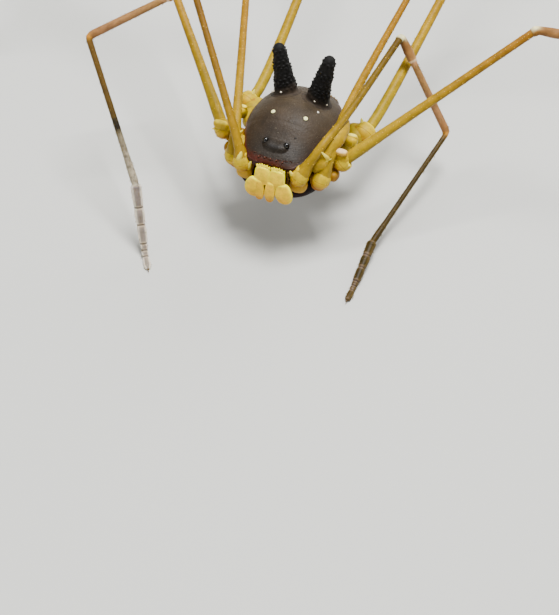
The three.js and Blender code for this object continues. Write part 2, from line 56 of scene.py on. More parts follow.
def turned(axis, angle):
    """Matrix of a turn by angle about one of the three axes."""
    c, s = np.cos(angle), np.sin(angle)
    matrix = np.eye(3)
    i, j = [(1, 2), (2, 0), (0, 1)][axis]
    matrix[i, i], matrix[i, j], matrix[j, i], matrix[j, j] = c, -s, s, c
    return matrix


BODY_TURN = turned(2, YAW) @ turned(0, PITCH) @ turned(1, ROLL)


def on_body(points, side=1):
    """Points given as across, forward, up: turned with the body and moved to its place."""
    points = np.asarray(points, float) * [side, -1, 1]
    return points @ BODY_TURN.T + BODY_PLACE


low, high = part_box("left_eye")
SHIFT = (np.array(low) + np.array(high)) * 500 - on_body(EYE)


def placed(points, side=1):
    """Points of the body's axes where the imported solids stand."""
    return on_body(points, side) + SHIFT


def heading(ways, side=1):
    """Directions of the body's axes, turned with the body but not moved."""
    return on_body(ways, side) - BODY_PLACE


# The camera, the floor and the lights
# A macro lens looks down on the animal from in front of its head. The floor is one pale sheet,
# and soft lamps stand round it, the strongest of them over the animal and a little to its left.
LENS_ELEVATION = np.radians(50.24)
LENS_DISTANCE = 133.06  # millimetres, to the point in the middle of the picture
away = np.array([0, -np.cos(LENS_ELEVATION), np.sin(LENS_ELEVATION)])
lens = bpy.data.cameras.new("macro_lens")
lens.lens = 105
lens.sensor_width = 36
lens.clip_start = 0.005
lens.clip_end = 20


def linked(name, data):
    """Object made of a lens, a lamp or a mesh, and linked into the scene."""
    made = bpy.data.objects.new(name, data)
    bpy.context.collection.objects.link(made)
    return made


camera = linked("macro_lens", lens)
camera.location = (SHIFT + LENS_DISTANCE * away) / 1000
camera.rotation_euler = (np.pi / 2 - LENS_ELEVATION, 0, 0)
bpy.context.scene.camera = camera


def linear(code):
    """Colour from its sRGB hex code: each channel over 255, then the sRGB curve undone."""
    values = np.array([int(code[i : i + 2], 16) for i in (1, 3, 5)]) / 255
    values = np.where(values <= 0.04045, values / 12.92, ((values + 0.055) / 1.055) ** 2.4)
    return [*values, 1.0]


def add(tree, kind, settings=(), **inputs):
    """Node of one kind, with its settings, and its inputs given as values or as other sockets.
    An input is given by its name, with _ for each space, or by its number after a _."""
    made = tree.nodes.new("ShaderNode" + kind)
    for name, value in dict(settings).items():
        setattr(made, name, value)
    for name, value in inputs.items():
        key = int(name[1:]) if name[0] == "_" else name.replace("_", " ")
        socket = made.inputs[key]
        if isinstance(value, bpy.types.NodeSocket):
            tree.links.new(value, socket)
        else:
            socket.default_value = value
    return made


def blank_material(name, **surface):
    """Node material with nothing but its output and its shader, whose own values are given."""
    material = bpy.data.materials.new(name)
    material.use_nodes = True
    tree = material.node_tree
    tree.nodes.clear()
    shader = add(tree, "BsdfPrincipled", **surface)
    add(tree, "OutputMaterial", Surface=shader.outputs["BSDF"])
    return material, tree, shader


FLOOR_HALF = 3.0
floor_mesh = bpy.data.meshes.new("floor")
corners = [(x * FLOOR_HALF, y * FLOOR_HALF, 0) for x, y in ((-1, -1), (1, -1), (1, 1), (-1, 1))]
floor_mesh.from_pydata(corners, [], [(0, 1, 2, 3)])
paper = blank_material("matt_paper", Base_Color=linear("#cfcfc9"), Roughness=0.9)[0]
floor_mesh.materials.append(paper)
linked("floor", floor_mesh)

world = bpy.data.worlds.new("studio")
bpy.context.scene.world = world
world.use_nodes = True
sky = world.node_tree.nodes["Background"].inputs
sky["Color"].default_value = linear("#eceef0")
sky["Strength"].default_value = 0.4
for name, place, size, power in [  # metres and watts
    ("key_lamp", (0.05, 0.0, 0.36), 0.13, 2.7),
    ("fill_lamp", (-0.26, -0.2, 0.22), 0.2, 0.3),
    ("back_lamp", (0.2, 0.28, 0.2), 0.2, 0.7),
]:
    lamp = bpy.data.lights.new(name, "AREA")
    lamp.size = size
    lamp.energy = power
    holder = linked(name, lamp)
    holder.location = place
    towards = Vector((0, -0.015, 0.008)) - Vector(place)
    holder.rotation_euler = towards.to_track_quat("-Z", "Y").to_euler()


# The back shield
# One hard plate covers head and back: a domed shell of tanned cuticle, cast in one piece by the
# animal, with a low eye mound in front, shallow grooves across it and a faint bead along its rim.
SHIELD = np.array([  # forward, half width, height of the midline
    [-2.75, 1.0, -1.66], [-2.55, 1.7, -1.36], [-2.0, 2.5, -0.86], [-1.0, 3.1, -0.32],
    [0.3, 3.42, 0.12], [1.8, 3.48, 0.30], [3.2, 3.2, 0.0], [4.4, 2.76, -0.74],
    [5.2, 2.38, -1.16], [5.74, 2.06, -1.44], [6.04, 1.76, -1.66], [6.16, 1.35, -1.82],
])
RIM_HEIGHT = -1.95
SHIELD_UNDER = 0.28
LIP_DEPTH = 0.3  # how much further the rim hangs over the mouth
SHIELD_FLANK = 1.5  # 1 makes its cross-section an ellipse, 2 a parabola
GROOVES = [(3.35, 0.035), (1.05, 0.015), (-0.35, 0.015), (-1.5, 0.02)]  # forward, depth
MOUND = [0.0, 4.84, -1.2]
MOUND_HALF = [1.0, 0.66, 0.42]
# The first three are dark blotches of the cuticle. The rest are painted shade: a painted shadow
# under the front of the eye mound, the mound's front painted darker as shade, and a painted shadow
# round each eye.
BLOTCHES_AND_PAINTED_SHADE = [  # across, forward, reach both ways, colour, strength
    (-0.82, 3.91, 0.4, 0.4, "#1c1610", 0.45), (-1.57, 3.62, 0.35, 0.35, "#1c1610", 0.45),
    (0.4, 4.1, 0.3, 0.3, "#1c1610", 0.45), (0, 5.32, 0.8925, 0.17, "#0e0a08", 0.75),
    (0, 4.95, 0.9, 0.378, "#1b1612", 0.4), (EYE[0], EYE[1], 0.28, 0.28, "#060505", 0.95),
    (-EYE[0], EYE[1], 0.28, 0.28, "#060505", 0.95),
]


def hermite(t, a, b, slope_a, slope_b):
    """Cubic from a to b over t from nought to one, with its slopes at both ends."""
    return (
        (2 * t**3 - 3 * t**2 + 1) * a + (t**3 - 2 * t**2 + t) * slope_a
        + (3 * t**2 - 2 * t**3) * b + (t**3 - t**2) * slope_b
    )


def eased(table, at, column=1):
    """Value of a table of rows at each place: a cubic through the rows, flat beyond its ends."""
    table = np.asarray(table, float)
    x, y = table[:, 0], table[:, column]
    at = np.clip(at, x[0], x[-1])
    i = np.clip(np.searchsorted(x, at, side="right") - 1, 0, len(x) - 2)
    before, after = np.maximum(i - 1, 0), np.minimum(i + 2, len(x) - 1)
    span = x[i + 1] - x[i]
    slope_1 = (y[i + 1] - y[before]) / (x[i + 1] - x[before]) * span
    slope_2 = (y[after] - y[i]) / (x[after] - x[i]) * span
    return hermite((at - x[i]) / span, y[i], y[i + 1], slope_1, slope_2)


def bell(distance, width):
    """Smooth bump: one at distance zero, nothing from about twice the width."""
    return np.exp(-((distance / width) ** 2))


def soft_step(value, start, end):
    """Smooth climb from nought at start to one at end."""
    t = np.clip((value - start) / (end - start), 0, 1)
    return t * t * (3 - 2 * t)


def droop(forward):
    """How far the front of the shield bends down over the mouth."""
    return 0.1 * soft_step(forward, 5.3, 6.1)


def shield_top(across, forward):
    """Height of the shield: its cross-section's own curve, less the grooves, with the eye mound
    blended in, less the droop."""
    share = np.clip(np.abs(across) / eased(SHIELD, forward, 1), 0, 1) ** (1 / 0.9)
    rise = eased(SHIELD, forward, 2) - RIM_HEIGHT
    up = RIM_HEIGHT + rise * (1 - share**2) ** (SHIELD_FLANK / 2)
    middle = 1 - soft_step(share, 0.75, 0.98)
    for line, depth in GROOVES:
        up = up - middle * depth * bell(forward - line + 0.03 * across**2, 0.13)
    out = np.abs((across - MOUND[0]) / MOUND_HALF[0]) ** 2.6 + np.abs(
        (forward - MOUND[1]) / MOUND_HALF[1]
    ) ** 2.6
    saddle = 0.06 * bell(across, 0.45)
    mound = MOUND[2] + (MOUND_HALF[2] - saddle) * np.clip(1 - out, 0, 1) ** 0.5
    blend = 0.5 + 0.5 * np.tanh((mound - up) / 0.1)
    return np.where(out < 1, up + (mound - up) * blend, up) - droop(forward)


def all_round(count):
    """Angles at even steps round a turn."""
    return np.arange(count) * 2 * np.pi / count


def grid(start, end, rows, count):
    """Places in rows from start to end, and angles all round each row."""
    return np.meshgrid(np.linspace(start, end, rows), all_round(count), indexing="ij")


def squared(wave, power):
    """Sine or cosine to a power under one, its sign kept: it makes a round section squarer."""
    return np.sign(wave) * np.abs(wave) ** power


def tube_faces(rings, count):
    """Quads of a grid of rings that close round, one between each two points of two rings."""
    r, c = np.meshgrid(np.arange(rings - 1), np.arange(count), indexing="ij")
    a = r * count + c
    b = r * count + (c + 1) % count
    return np.stack([a, b, b + count, a + count], -1).reshape(-1, 4)


def fans(rings, count, low, high):
    """Triangles that close the first ring to the point low and the last to the point high."""
    around = np.arange(count)
    following = (around + 1) % count
    last = (rings - 1) * count
    start = np.stack([np.full(count, low), following, around], -1)
    end = np.stack([np.full(count, high), last + around, last + following], -1)
    return np.concatenate([start, end])


def facing_out(points, quads, triangles, tint):
    """The same skin with its faces outwards, told by the sign of the volume inside it."""
    corners = np.concatenate([quads[:, :3], quads[:, [0, 2, 3]], triangles])
    a, b, c = (points - points.mean(0))[corners].transpose(1, 0, 2)
    if (a * np.cross(b, c)).sum() < 0:
        quads, triangles = quads[:, ::-1], triangles[:, ::-1]
    return points, quads, triangles, tint


def closed_skin(rings, colour="#000000"):
    """Skin over rings (ring, place, xyz), closed by fans: points, quads, triangles and tint. Its
    colour is one for all, one for each ring (ring, 1, rgba) or one for each point of each ring."""
    rows, count = rings.shape[:2]
    colour = np.broadcast_to(rgba(colour), (rows, count, 4))
    points = np.concatenate([rings.reshape(-1, 3), rings[:1].mean(1), rings[-1:].mean(1)])
    tint = np.concatenate([colour.reshape(-1, 4), colour[:1].mean(1), colour[-1:].mean(1)])
    ends = fans(rows, count, len(points) - 2, len(points) - 1)
    return facing_out(points, tube_faces(rows, count), ends, tint)


def put(name, skins, material, replaced=()):
    """Piece of the model: one smooth mesh of skins in millimetres, on its body."""
    first = np.cumsum([0, *(len(skin[0]) for skin in skins[:-1])])
    points, quads, triangles, tints = zip(*skins)
    quads, triangles = (
        np.concatenate([part + k for part, k in zip(kind, first)]).tolist()
        for kind in (quads, triangles)
    )
    mesh = bpy.data.meshes.new(name)
    mesh.from_pydata((np.concatenate(points) / 1000).tolist(), [], quads + triangles)
    mesh.polygons.foreach_set("use_smooth", np.ones(len(mesh.polygons), bool))
    layer = mesh.color_attributes.new("tint", "FLOAT_COLOR", "POINT")
    layer.data.foreach_set("color", np.concatenate(tints).astype(np.float32).ravel())
    mesh.materials.append(material)
    piece = linked(name, mesh)
    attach(piece, "root")
    for node in replaced:
        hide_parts(node)


def blended(rows, at):
    """Colours at each place of a table of (place, hex) rows, mixed in between in linear light."""
    places = [row[0] for row in rows]
    colours = np.array([linear(row[1]) for row in rows])
    return np.stack([np.interp(at, places, colours[:, k]) for k in range(4)], -1)


def rgba(given):
    """Colours as an array of red, green, blue and alpha: of a hex code, or those given."""
    return np.asarray(linear(given) if isinstance(given, str) else given, float)


def between(a, b, share):
    """Mix of two sets of colours by a share from nought to one."""
    share = np.clip(share, 0, 1)[..., None]
    return rgba(a) * (1 - share) + rgba(b) * share


def clouded(name, noise, shades, relief, **surface):
    """Material whose colour is the piece's own tint, shaded by clouds: the clouds' noise, the
    range of it that is used and of the shades that it gives, the relief's strength and depth,
    and the shader's own values."""
    material, tree, shader = blank_material(name, **surface)
    place = add(tree, "TexCoord").outputs["Object"]
    paint = add(tree, "Attribute", {"attribute_name": "tint"}).outputs["Color"]
    cloud = add(tree, "TexNoise", Vector=place, **noise).outputs["Fac"]
    ends = dict(zip(("From_Min", "From_Max", "To_Min", "To_Max"), shades))
    shade = add(tree, "MapRange", Value=cloud, **ends)
    painted = add(tree, "Mix", {"data_type": "RGBA", "blend_type": "MULTIPLY"},
                  _0=1.0, _6=paint, _7=shade.outputs[0])
    bump = add(tree, "Bump", Height=cloud, Strength=relief[0], Distance=relief[1])
    tree.links.new(painted.outputs[2], shader.inputs["Base Color"])
    tree.links.new(bump.outputs["Normal"], shader.inputs["Normal"])
    return material, tree, shader, place, painted, bump


forward, angle = grid(SHIELD[0, 0], SHIELD[-1, 0], 230, 240)
wide, tall = np.cos(angle), np.sin(angle)
half = eased(SHIELD, forward, 1)
across = half * squared(wide, 0.9)
from_rim = half - np.abs(across)
rim_bead = 0.035 * bell(from_rim - 0.08, 0.07) * np.clip(tall * 9, 0, 1)
under = RIM_HEIGHT - (SHIELD_UNDER + LIP_DEPTH * soft_step(forward, 5.5, 6.0)) * np.abs(tall) ** 0.6
up = np.where(tall > 0, shield_top(across, forward) + rim_bead, under - droop(forward))
shell = placed(np.stack([across, forward, up], -1))

# The dome is warm grey-brown, darker in front; its rim is ochre at the sides, red-brown in front.
dome = blended([(-2.7, "#382e22"), (1.0, "#3e3324"), (3.6, "#352a1e"), (5.4, "#272018")], forward)
nose = soft_step(forward, 5.2, 5.8) * (1 - 0.75 * soft_step(across, 0.2, 1.4))
rim = between("#8c5c10", "#561a08", soft_step(forward, 2.6, 5.2))
rim = between(rim, "#24130c", soft_step(across, 0.4, 1.5) * soft_step(forward, 4.4, 5.4))
tint = between(dome, "#3c2416", 0.6 * bell(from_rim, 0.45))
tint = between(tint, rim, bell(np.maximum(from_rim - 0.05, 0), 0.09))
ragged = 0.12 * np.sin(9 * across) * np.sin(23 * across)
over_rim = np.clip((up - RIM_HEIGHT) / 0.5, 0, 1) + ragged
tint = between(tint, "#421404", nose * (1 - soft_step(over_rim, 0.2, 0.75)))
# Dark blotches, then painted shade on and under the eye mound and a painted shadow round each eye.
for at_side, at_front, wide, long, colour, strength in BLOTCHES_AND_PAINTED_SHADE:
    blotch_and_shade = bell(np.hypot((across - at_side) / wide, (forward - at_front) / long), 1)
    tint = between(tint, colour, strength * blotch_and_shade)
tint = np.where(tall[..., None] > -0.02, tint, rgba("#3a1108"))

# Tanned cuticle, cast in one: dull and velvety, clouded a millimetre or so across, with grains a
# seventh of a millimetre wide, each with a faint paler speck in its middle.
shell_cuticle, tree, shader, place, painted, bump = clouded(
    "matt_brown_cuticle", {"Scale": 900.0, "Detail": 5.0, "Roughness": 0.62},
    (0.3, 0.7, 0.7, 1.25), (0.5, 0.00003), Roughness=0.55, Specular_IOR_Level=0.25,
)
grain = add(tree, "TexVoronoi", Vector=place, Scale=7000.0)
speck = add(tree, "MapRange", Value=grain.outputs["Distance"],
            From_Min=0.12, From_Max=0.2, To_Min=0.22, To_Max=0.0)
specked = add(tree, "Mix", {"data_type": "RGBA"},
              _0=speck.outputs[0], _6=painted.outputs[2], _7=linear("#8a7c68"))
tree.links.new(specked.outputs[2], shader.inputs["Base Color"])
tree.links.new(grain.outputs["Distance"], bump.inputs["Height"])
put("back_shell", [closed_skin(shell, tint)], shell_cuticle, ["carapace", "back_shield"])


# The warts and pegs of the shield
# Small solid knobs of the same cuticle stand on it: two large creamy ones, a few white dots by
# the horns, blunt pegs along the front rim, and fine grains scattered over the whole dome.
WARTS = [  # across, forward, radius, colour
    (-1.14, 2.71, 0.175, "#fffbb4"), (1.36, 2.51, 0.175, "#fffbb4"),
    (1.88, 1.3, 0.09, "#fff8e8"),
    (-0.41, 3.91, 0.04, "#6c6352"), (0.6, 3.27, 0.04, "#6c6352"), (-0.16, 4.16, 0.04, "#645b4c"),
    (1.19, 4.11, 0.06, "#120e0c"), (-1.9, 2.2, 0.04, "#6c6352"), (0.1, 1.6, 0.04, "#645b4c"),
]
FOOT_DOTS = np.array([  # across, forward, up, the way out of the horn's foot, radius
    [-2.09, 0.56, 0.05, -0.65, 0.74, 0.15, 0.09], [-1.33, 0.7, 0.31, -0.09, 0.99, 0.08, 0.085],
    [1.36, 0.73, 0.28, -0.21, 0.98, 0.0, 0.065], [2.15, 0.16, -0.22, 0.88, 0.38, 0.28, 0.065],
])
PEGS_ACROSS = np.array([-0.92, -0.46, 0.0, 0.46, 0.92])
# Profiles of the small knobs: share of the height, share of the radius.
DOME_PROFILE = [(-0.6, 1.0), (0.1, 1.0), (0.5, 0.86), (0.8, 0.6), (0.95, 0.3)]
PEG_PROFILE = [(-0.6, 1.15), (0, 1.0), (0.4, 0.8), (0.8, 0.55), (0.95, 0.3)]
CRUMBS = 70  # small bumps along the front rim, and as many on the lip under it
GRAINS = 1500


def unit(ways):
    """Directions scaled to a length of one."""
    return ways / np.linalg.norm(ways, axis=-1, keepdims=True)


def round_about(turn, u, v):
    """Directions round an axis, turned from u towards v."""
    return np.cos(turn)[..., None] * u + np.sin(turn)[..., None] * v


def spikes(seats, outs, heights, radii, profile, count, colour):
    """Many small cones at once: rings (share of height, share of radius) round each one's own
    axis out of its seat, closed by a middle point below and by the tip above. Their colour is
    one for all, one for each cone (cone, 1, rgba) or one for each point of a cone."""
    seats = np.asarray(seats, float)
    outs = unit(np.broadcast_to(outs, seats.shape))
    u = unit(np.cross(np.where(np.abs(outs[:, 2:]) < 0.8, [[0, 0, 1.0]], [[1.0, 0, 0]]), outs))
    circle = round_about(all_round(count), u[:, None], np.cross(outs, u)[:, None])
    h, r = np.array(profile, float).T
    heights, radii = (np.broadcast_to(size, len(seats))[:, None] for size in (heights, radii))
    rings = (
        seats[:, None, None] + outs[:, None, None] * (heights * h)[..., None, None]
        + circle[:, None] * (radii * r)[..., None, None]
    )
    ends = seats[:, None] + outs[:, None] * (heights * [h[0], 1])[..., None]
    points = np.concatenate([rings.reshape(len(seats), -1, 3), ends], 1)
    each = points.shape[1]
    first = (np.arange(len(seats)) * each)[:, None, None]
    quads = (tube_faces(len(h), count) + first).reshape(-1, 4)
    triangles = (fans(len(h), count, each - 2, each - 1) + first).reshape(-1, 3)
    tint = np.broadcast_to(rgba(colour), (len(seats), each, 4)).reshape(-1, 4)
    return facing_out(points.reshape(-1, 3), quads, triangles, tint)


def on_shield(across, forward):
    """Seat on the dome and the way straight out of it, from the slopes of its height."""
    seat = np.stack([across, forward, shield_top(across, forward)], -1)
    step = 0.02
    side_slope = (shield_top(across + step, forward) - seat[..., 2]) / step
    front_slope = (shield_top(across, forward + step) - seat[..., 2]) / step
    out = np.stack([-side_slope, -front_slope, np.ones_like(side_slope)], -1)
    return placed(seat), unit(heading(out))


across, forward, radius, colours = (np.array(column) for column in zip(*WARTS))
colours = np.array([linear(code) for code in colours])[:, None]
seats, outs = on_shield(across, forward)
knobs = spikes(seats, outs, 0.42 * radius, radius, DOME_PROFILE, 20, colours)
collars = spikes(seats, outs, 0.13 * radius, 1.3 * radius, DOME_PROFILE, 20, "#1c180c")
radius = FOOT_DOTS[:, 6]
dots = spikes(placed(FOOT_DOTS[:, :3]), heading(FOOT_DOTS[:, 3:6]), 0.6 * radius, radius,
              [(-4, 0.9), (0.1, 1), (0.6, 0.8), (0.9, 0.4)], 16, "#fff4dc")
put("shield_warts", [knobs, collars, dots], shell_cuticle)

seats, outs = on_shield(PEGS_ACROSS, 5.94 + 0 * PEGS_ACROSS)
up_the_peg = np.concatenate([np.repeat([0, 0.1, 0.4, 0.8, 1.0], 14), [0, 1.0]])
pegs = spikes(seats, heading([0, 0.5, 0.85]), [0.2, 0.17, 0.2, 0.19, 0.2], 0.075,
              PEG_PROFILE, 14, between("#3c1208", "#7c5044", up_the_peg))
draw = np.random.default_rng(5)
across = draw.uniform(-1.55, 1.55, CRUMBS)
forward = 6.02 - 0.1 * draw.random(CRUMBS) - 0.16 * np.abs(across) ** 1.6
seats, outs = on_shield(across, forward)
crumbs = spikes(seats, outs, draw.uniform(0.03, 0.08, CRUMBS), draw.uniform(0.03, 0.055, CRUMBS),
                PEG_PROFILE, 7, between("#300e06", "#54301c", draw.random(CRUMBS) ** 2)[:, None])
across = draw.uniform(-1.2, 1.2, CRUMBS)
seats = np.stack([across, 6.15 + 0 * across, draw.uniform(-2.5, -1.96, CRUMBS)], -1)
size = draw.uniform(0.03, 0.075, CRUMBS)
lip = spikes(placed(seats), heading([0, 1, 0.3]), size, size, PEG_PROFILE, 7,
             between("#340f06", "#7c4018", draw.random(CRUMBS) ** 2)[:, None])
put("rim_pegs", [pegs, crumbs, lip], shell_cuticle)

forward = draw.uniform(-2.5, 5.8, GRAINS)
across = draw.uniform(-1, 1, GRAINS) * eased(SHIELD, forward, 1) * 0.97
seats, outs = on_shield(across, forward)
colours = blended([(-2.7, "#463c30"), (3.0, "#463b2f"), (5.6, "#2a231c")], forward)[:, None]
grains = spikes(seats, outs, draw.uniform(0.012, 0.03, GRAINS), draw.uniform(0.02, 0.038, GRAINS),
                [(-0.8, 1.0), (0.2, 0.9), (0.75, 0.55)], 6, colours)
put("dome_grains", [grains], shell_cuticle)


# The horns
# Two blunt black horns of thick cuticle grow out of the shield with a flared brown foot. Uneven
# rows of small upturned knobs ring them from foot to tip.
HORN_FOOT = np.array([1.22, -0.14, -0.3])
HORN_END = np.array([1.95, -0.15, 4.02])
HORN_LEAN = 0.22  # how much further out the left horn's tip stands
HORN_RADII = np.array([  # share of the length, radius
    [0, 1.2], [0.05, 1.04], [0.1, 0.9], [0.17, 0.82], [0.27, 0.75], [0.4, 0.69], [0.6, 0.60],
    [0.78, 0.51], [0.9, 0.44], [0.95, 0.37], [0.98, 0.25], [1, 0.04],
])
HORN_ROW = 0.29  # between two rows of knobs
FIRST_ROW = 0.75  # how far up the horn the first row stands
KNOB_APART = 0.34
KNOB_RADIUS = 0.14
KNOB_HEIGHTS = (0.085, 0.045)  # the middle height, and how far luck moves it

# The thickest, darkest cuticle: black and dull, with shallow clouded relief under half a
# millimetre across.
black_cuticle = clouded(
    "black_horn_cuticle", {"Scale": 2500.0, "Detail": 3.0},
    (0.35, 0.7, 0.7, 1.5), (0.5, 0.00003), Roughness=0.7, Specular_IOR_Level=0.18,
)[0]

for name, side in SIDES:
    share, angle = grid(0, 1, 340, 150)
    end = HORN_END + [HORN_LEAN if side > 0 else 0, 0, 0]
    length = np.linalg.norm(end - HORN_FOOT)
    axis = unit(end - HORN_FOOT)
    sideways = unit(np.cross(axis, [0, 1, 0]))
    ahead = np.cross(sideways, axis)
    radius = eased(HORN_RADII, share)
    distance = share * length
    row = np.round((distance - FIRST_ROW) / HORN_ROW)
    at_row = row * HORN_ROW + FIRST_ROW
    in_row = np.maximum(np.round(2 * np.pi * eased(HORN_RADII, at_row / length) / KNOB_APART), 5)
    turn = angle / (2 * np.pi) * in_row + 0.5 * (row % 2) + 0.3 * np.sin(7 * row + side)
    knob = np.round(turn)
    luck = np.sin(12.9 * knob + 7.7 * row + 3 * side)
    off_along = distance - at_row + 0.06 * np.sin(5.1 * knob + 2.3 * row)
    off_round = (turn - knob + 0.12 * luck) / in_row * 2 * np.pi * radius
    peak = np.clip(1 - np.hypot(off_along + 0.02, off_round) / KNOB_RADIUS, 0, 1)
    height = (KNOB_HEIGHTS[0] + KNOB_HEIGHTS[1] * luck) * peak**1.2
    height = height * (row >= 0) * soft_step(1 - share, 0.02, 0.12)
    radius = radius + height
    out = round_about(angle, sideways, ahead)
    points = HORN_FOOT + share[..., None] * length * axis + radius[..., None] * out
    points += (0.6 * height)[..., None] * axis
    # The foot lies on the dome, a hair above it, and only its first two rings are sunk in.
    dome = shield_top(points[..., 0], points[..., 1])
    sunk = 1 - soft_step(share, 0.01, 0.19)
    points[..., 2] = points[..., 2] * (1 - sunk) + (dome + 0.012 - 0.06 * (share < 0.004)) * sunk
    above = points[..., 2] - dome + 0.12 * luck * (row >= 0) - 0.25 * np.cos(angle) * (share < 0.4)
    tint = between("#342b22", "#121110", soft_step(above, 0.0, 0.75))
    horn = closed_skin(placed(points, side), tint)
    put(f"{name}_horn_knobbed", [horn], black_cuticle, [f"{name}_horn"])


# The eyes
# Two black beads of clear cuticle over dark pigment sit in the ends of the eye mound.
def ball_ways(margin, rows, count):
    """Directions to a ball's grid of points from pole to pole, each pole less a margin, with
    their tilt from the upper pole and their turn round it."""
    tilt, turn = grid(margin, np.pi - margin, rows, count)
    way = np.stack([np.sin(tilt) * np.cos(turn), np.sin(tilt) * np.sin(turn), np.cos(tilt)], -1)
    return way, tilt, turn


# Clear cuticle over black pigment: a wet-looking mirror, with a faint brown depth.
glassy_bead, tree, shader = blank_material("glossy_black_bead", Roughness=0.05, IOR=1.56)
place = add(tree, "TexCoord").outputs["Object"]
cloud = add(tree, "TexNoise", Vector=place, Scale=6000.0, Detail=2.0)
depth = add(tree, "ValToRGB", Fac=cloud.outputs["Fac"])
depth.color_ramp.elements[0].color = linear("#030303")
depth.color_ramp.elements[1].color = linear("#0d0807")
tree.links.new(depth.outputs["Color"], shader.inputs["Base Color"])
for name, side in SIDES:
    bead = EYE + [0.02, 0.05, 0.05] + (EYE_RADIUS + 0.03) * ball_ways(0.02, 36, 54)[0]
    put(f"{name}_eye_bead", [closed_skin(placed(bead, side))], glassy_bead, [f"{name}_eye"])


# The belly
# Under the shield hangs the belly, one closed sac of dark skin. Shallow folds part the plates of
# the leg bases in front and the rings of the hind body behind.
BELLY = np.array([  # forward, half width, lowest height
    [-3.5, 0.9, -4.5], [-3.2, 1.7, -4.8], [-2.2, 2.4, -5.2], [-0.8, 2.8, -5.6], [1.0, 3.1, -5.9],
    [2.8, 3.4, -6.0], [4.2, 3.3, -5.9], [5.2, 2.85, -5.6], [5.8, 2.2, -5.2], [6.1, 1.4, -4.8],
])
BELLY_TOP = RIM_HEIGHT - SHIELD_UNDER + 0.1
BELLY_WAIST = -4.1  # the height where it is widest
FOLDS = (-2.6, -1.9, -1.2, -0.4, 0.6, 1.7, 2.9, 4.1)
forward, angle = grid(BELLY[0, 0], BELLY[-1, 0], 180, 150)
wide, tall = np.cos(angle), np.sin(angle)
half = eased(BELLY, forward, 1)
down = BELLY_WAIST - eased(BELLY, forward, 2)
across = half * squared(wide, 0.8)
folds = sum(bell(forward - line - 0.25 * np.abs(across), 0.09) for line in FOLDS)
folds = folds + 0.8 * bell(across, 0.07) * soft_step(forward, 0.4, 1.2)
low = -(down - 0.1 * folds) * np.abs(tall) ** 0.85
up = BELLY_WAIST + np.where(tall > 0, (BELLY_TOP - BELLY_WAIST) * np.abs(tall) ** 0.7, low)
lean = np.where(tall > 0, 0.9 * tall * np.clip((forward - 2) / 4.1, 0, 1), 0)
tint = between("#100404", "#2a100a", 0.7 * bell(tall + 1, 0.5))
# Painted shade darkens the folds.
tint = between(tint, "#060202", 0.8 * np.clip(folds, 0, 1))

# Thin skin over dark flesh: maroon to black, dull, clouded a millimetre across and finely folded.
belly_skin = clouded(
    "dark_belly_skin", {"Scale": 900.0, "Detail": 5.0},
    (0.3, 0.7, 0.6, 1.4), (0.4, 0.00005), Roughness=0.5, Specular_IOR_Level=0.04,
)[0]
belly = closed_skin(placed(np.stack([across, forward - lean, up], -1)), tint)
put("belly_sac", [belly], belly_skin, ["belly"])


# The tail plates
# Four overlapping rings of the same brown cuticle as the shield close the hind body and bend
# down over its end. Each ends in a paler rim, the first three with a row of grains.
share, angle = grid(0, 1, 130, 110)
turn = share * np.radians(75)
step_up = (share * 4) % 1
half = (1.9 - 0.9 * share**1.5 + 0.09 * step_up**3) * np.sqrt(1 - share**18 * 0.7)
high = (0.5 - 0.1 * share + 0.07 * step_up**3) * np.sqrt(1 - share**18)
out = high * np.sin(angle)
tail = np.stack([
    half * np.cos(angle),
    -2.95 - 1.35 * np.sin(turn) - out * np.sin(turn),
    -2.6 - 1.2 * (1 - np.cos(turn)) - 0.5 * share + out * np.cos(turn),
], -1)
rim = bell(1 - step_up, 0.12)
tint = between("#33291f", "#7a5826", 0.75 * rim)
RIM_ROWS = [31, 63, 96]  # rows of the grid by the rims of the first three rings
seats = tail[RIM_ROWS, 8:48:4]
outs = seats - tail[RIM_ROWS].mean(1)[:, None]
beads = spikes(placed(seats.reshape(-1, 3)), heading(outs.reshape(-1, 3)), 0.07, 0.06,
               DOME_PROFILE, 9, "#80683c")
put("tail_rings", [closed_skin(placed(tail), tint), beads], shell_cuticle, ["tail_plates"])


# The mouthparts
# Two flat yellow feelers cover the mouth like spoons, each of a toothed plate, a spoon and a
# toe. Behind them hang the jaws. All are thin cuticle over yellow tissue, stiff and satin.
def through(points, per_span=60):
    """Smooth curve through points: the centripetal Catmull-Rom spline that the solids follow."""
    points = np.asarray(points, float)
    points = np.concatenate([[2 * points[0] - points[1]], points, [2 * points[-1] - points[-2]]])
    t = np.linspace(0, 1, per_span, endpoint=False)[:, None]
    runs = []
    for i in range(1, len(points) - 2):
        a, b, c, d = points[i - 1 : i + 3]
        gap_1, gap_2, gap_3 = (np.linalg.norm(q - p) ** 0.5 for p, q in ((a, b), (b, c), (c, d)))
        slope_1 = ((b - a) / gap_1 - (c - a) / (gap_1 + gap_2) + (c - b) / gap_2) * gap_2
        slope_2 = ((c - b) / gap_2 - (d - b) / (gap_2 + gap_3) + (d - c) / gap_3) * gap_2
        runs.append(hermite(t, b, c, slope_1, slope_2))
    return np.concatenate([*runs, points[-2:-1]])


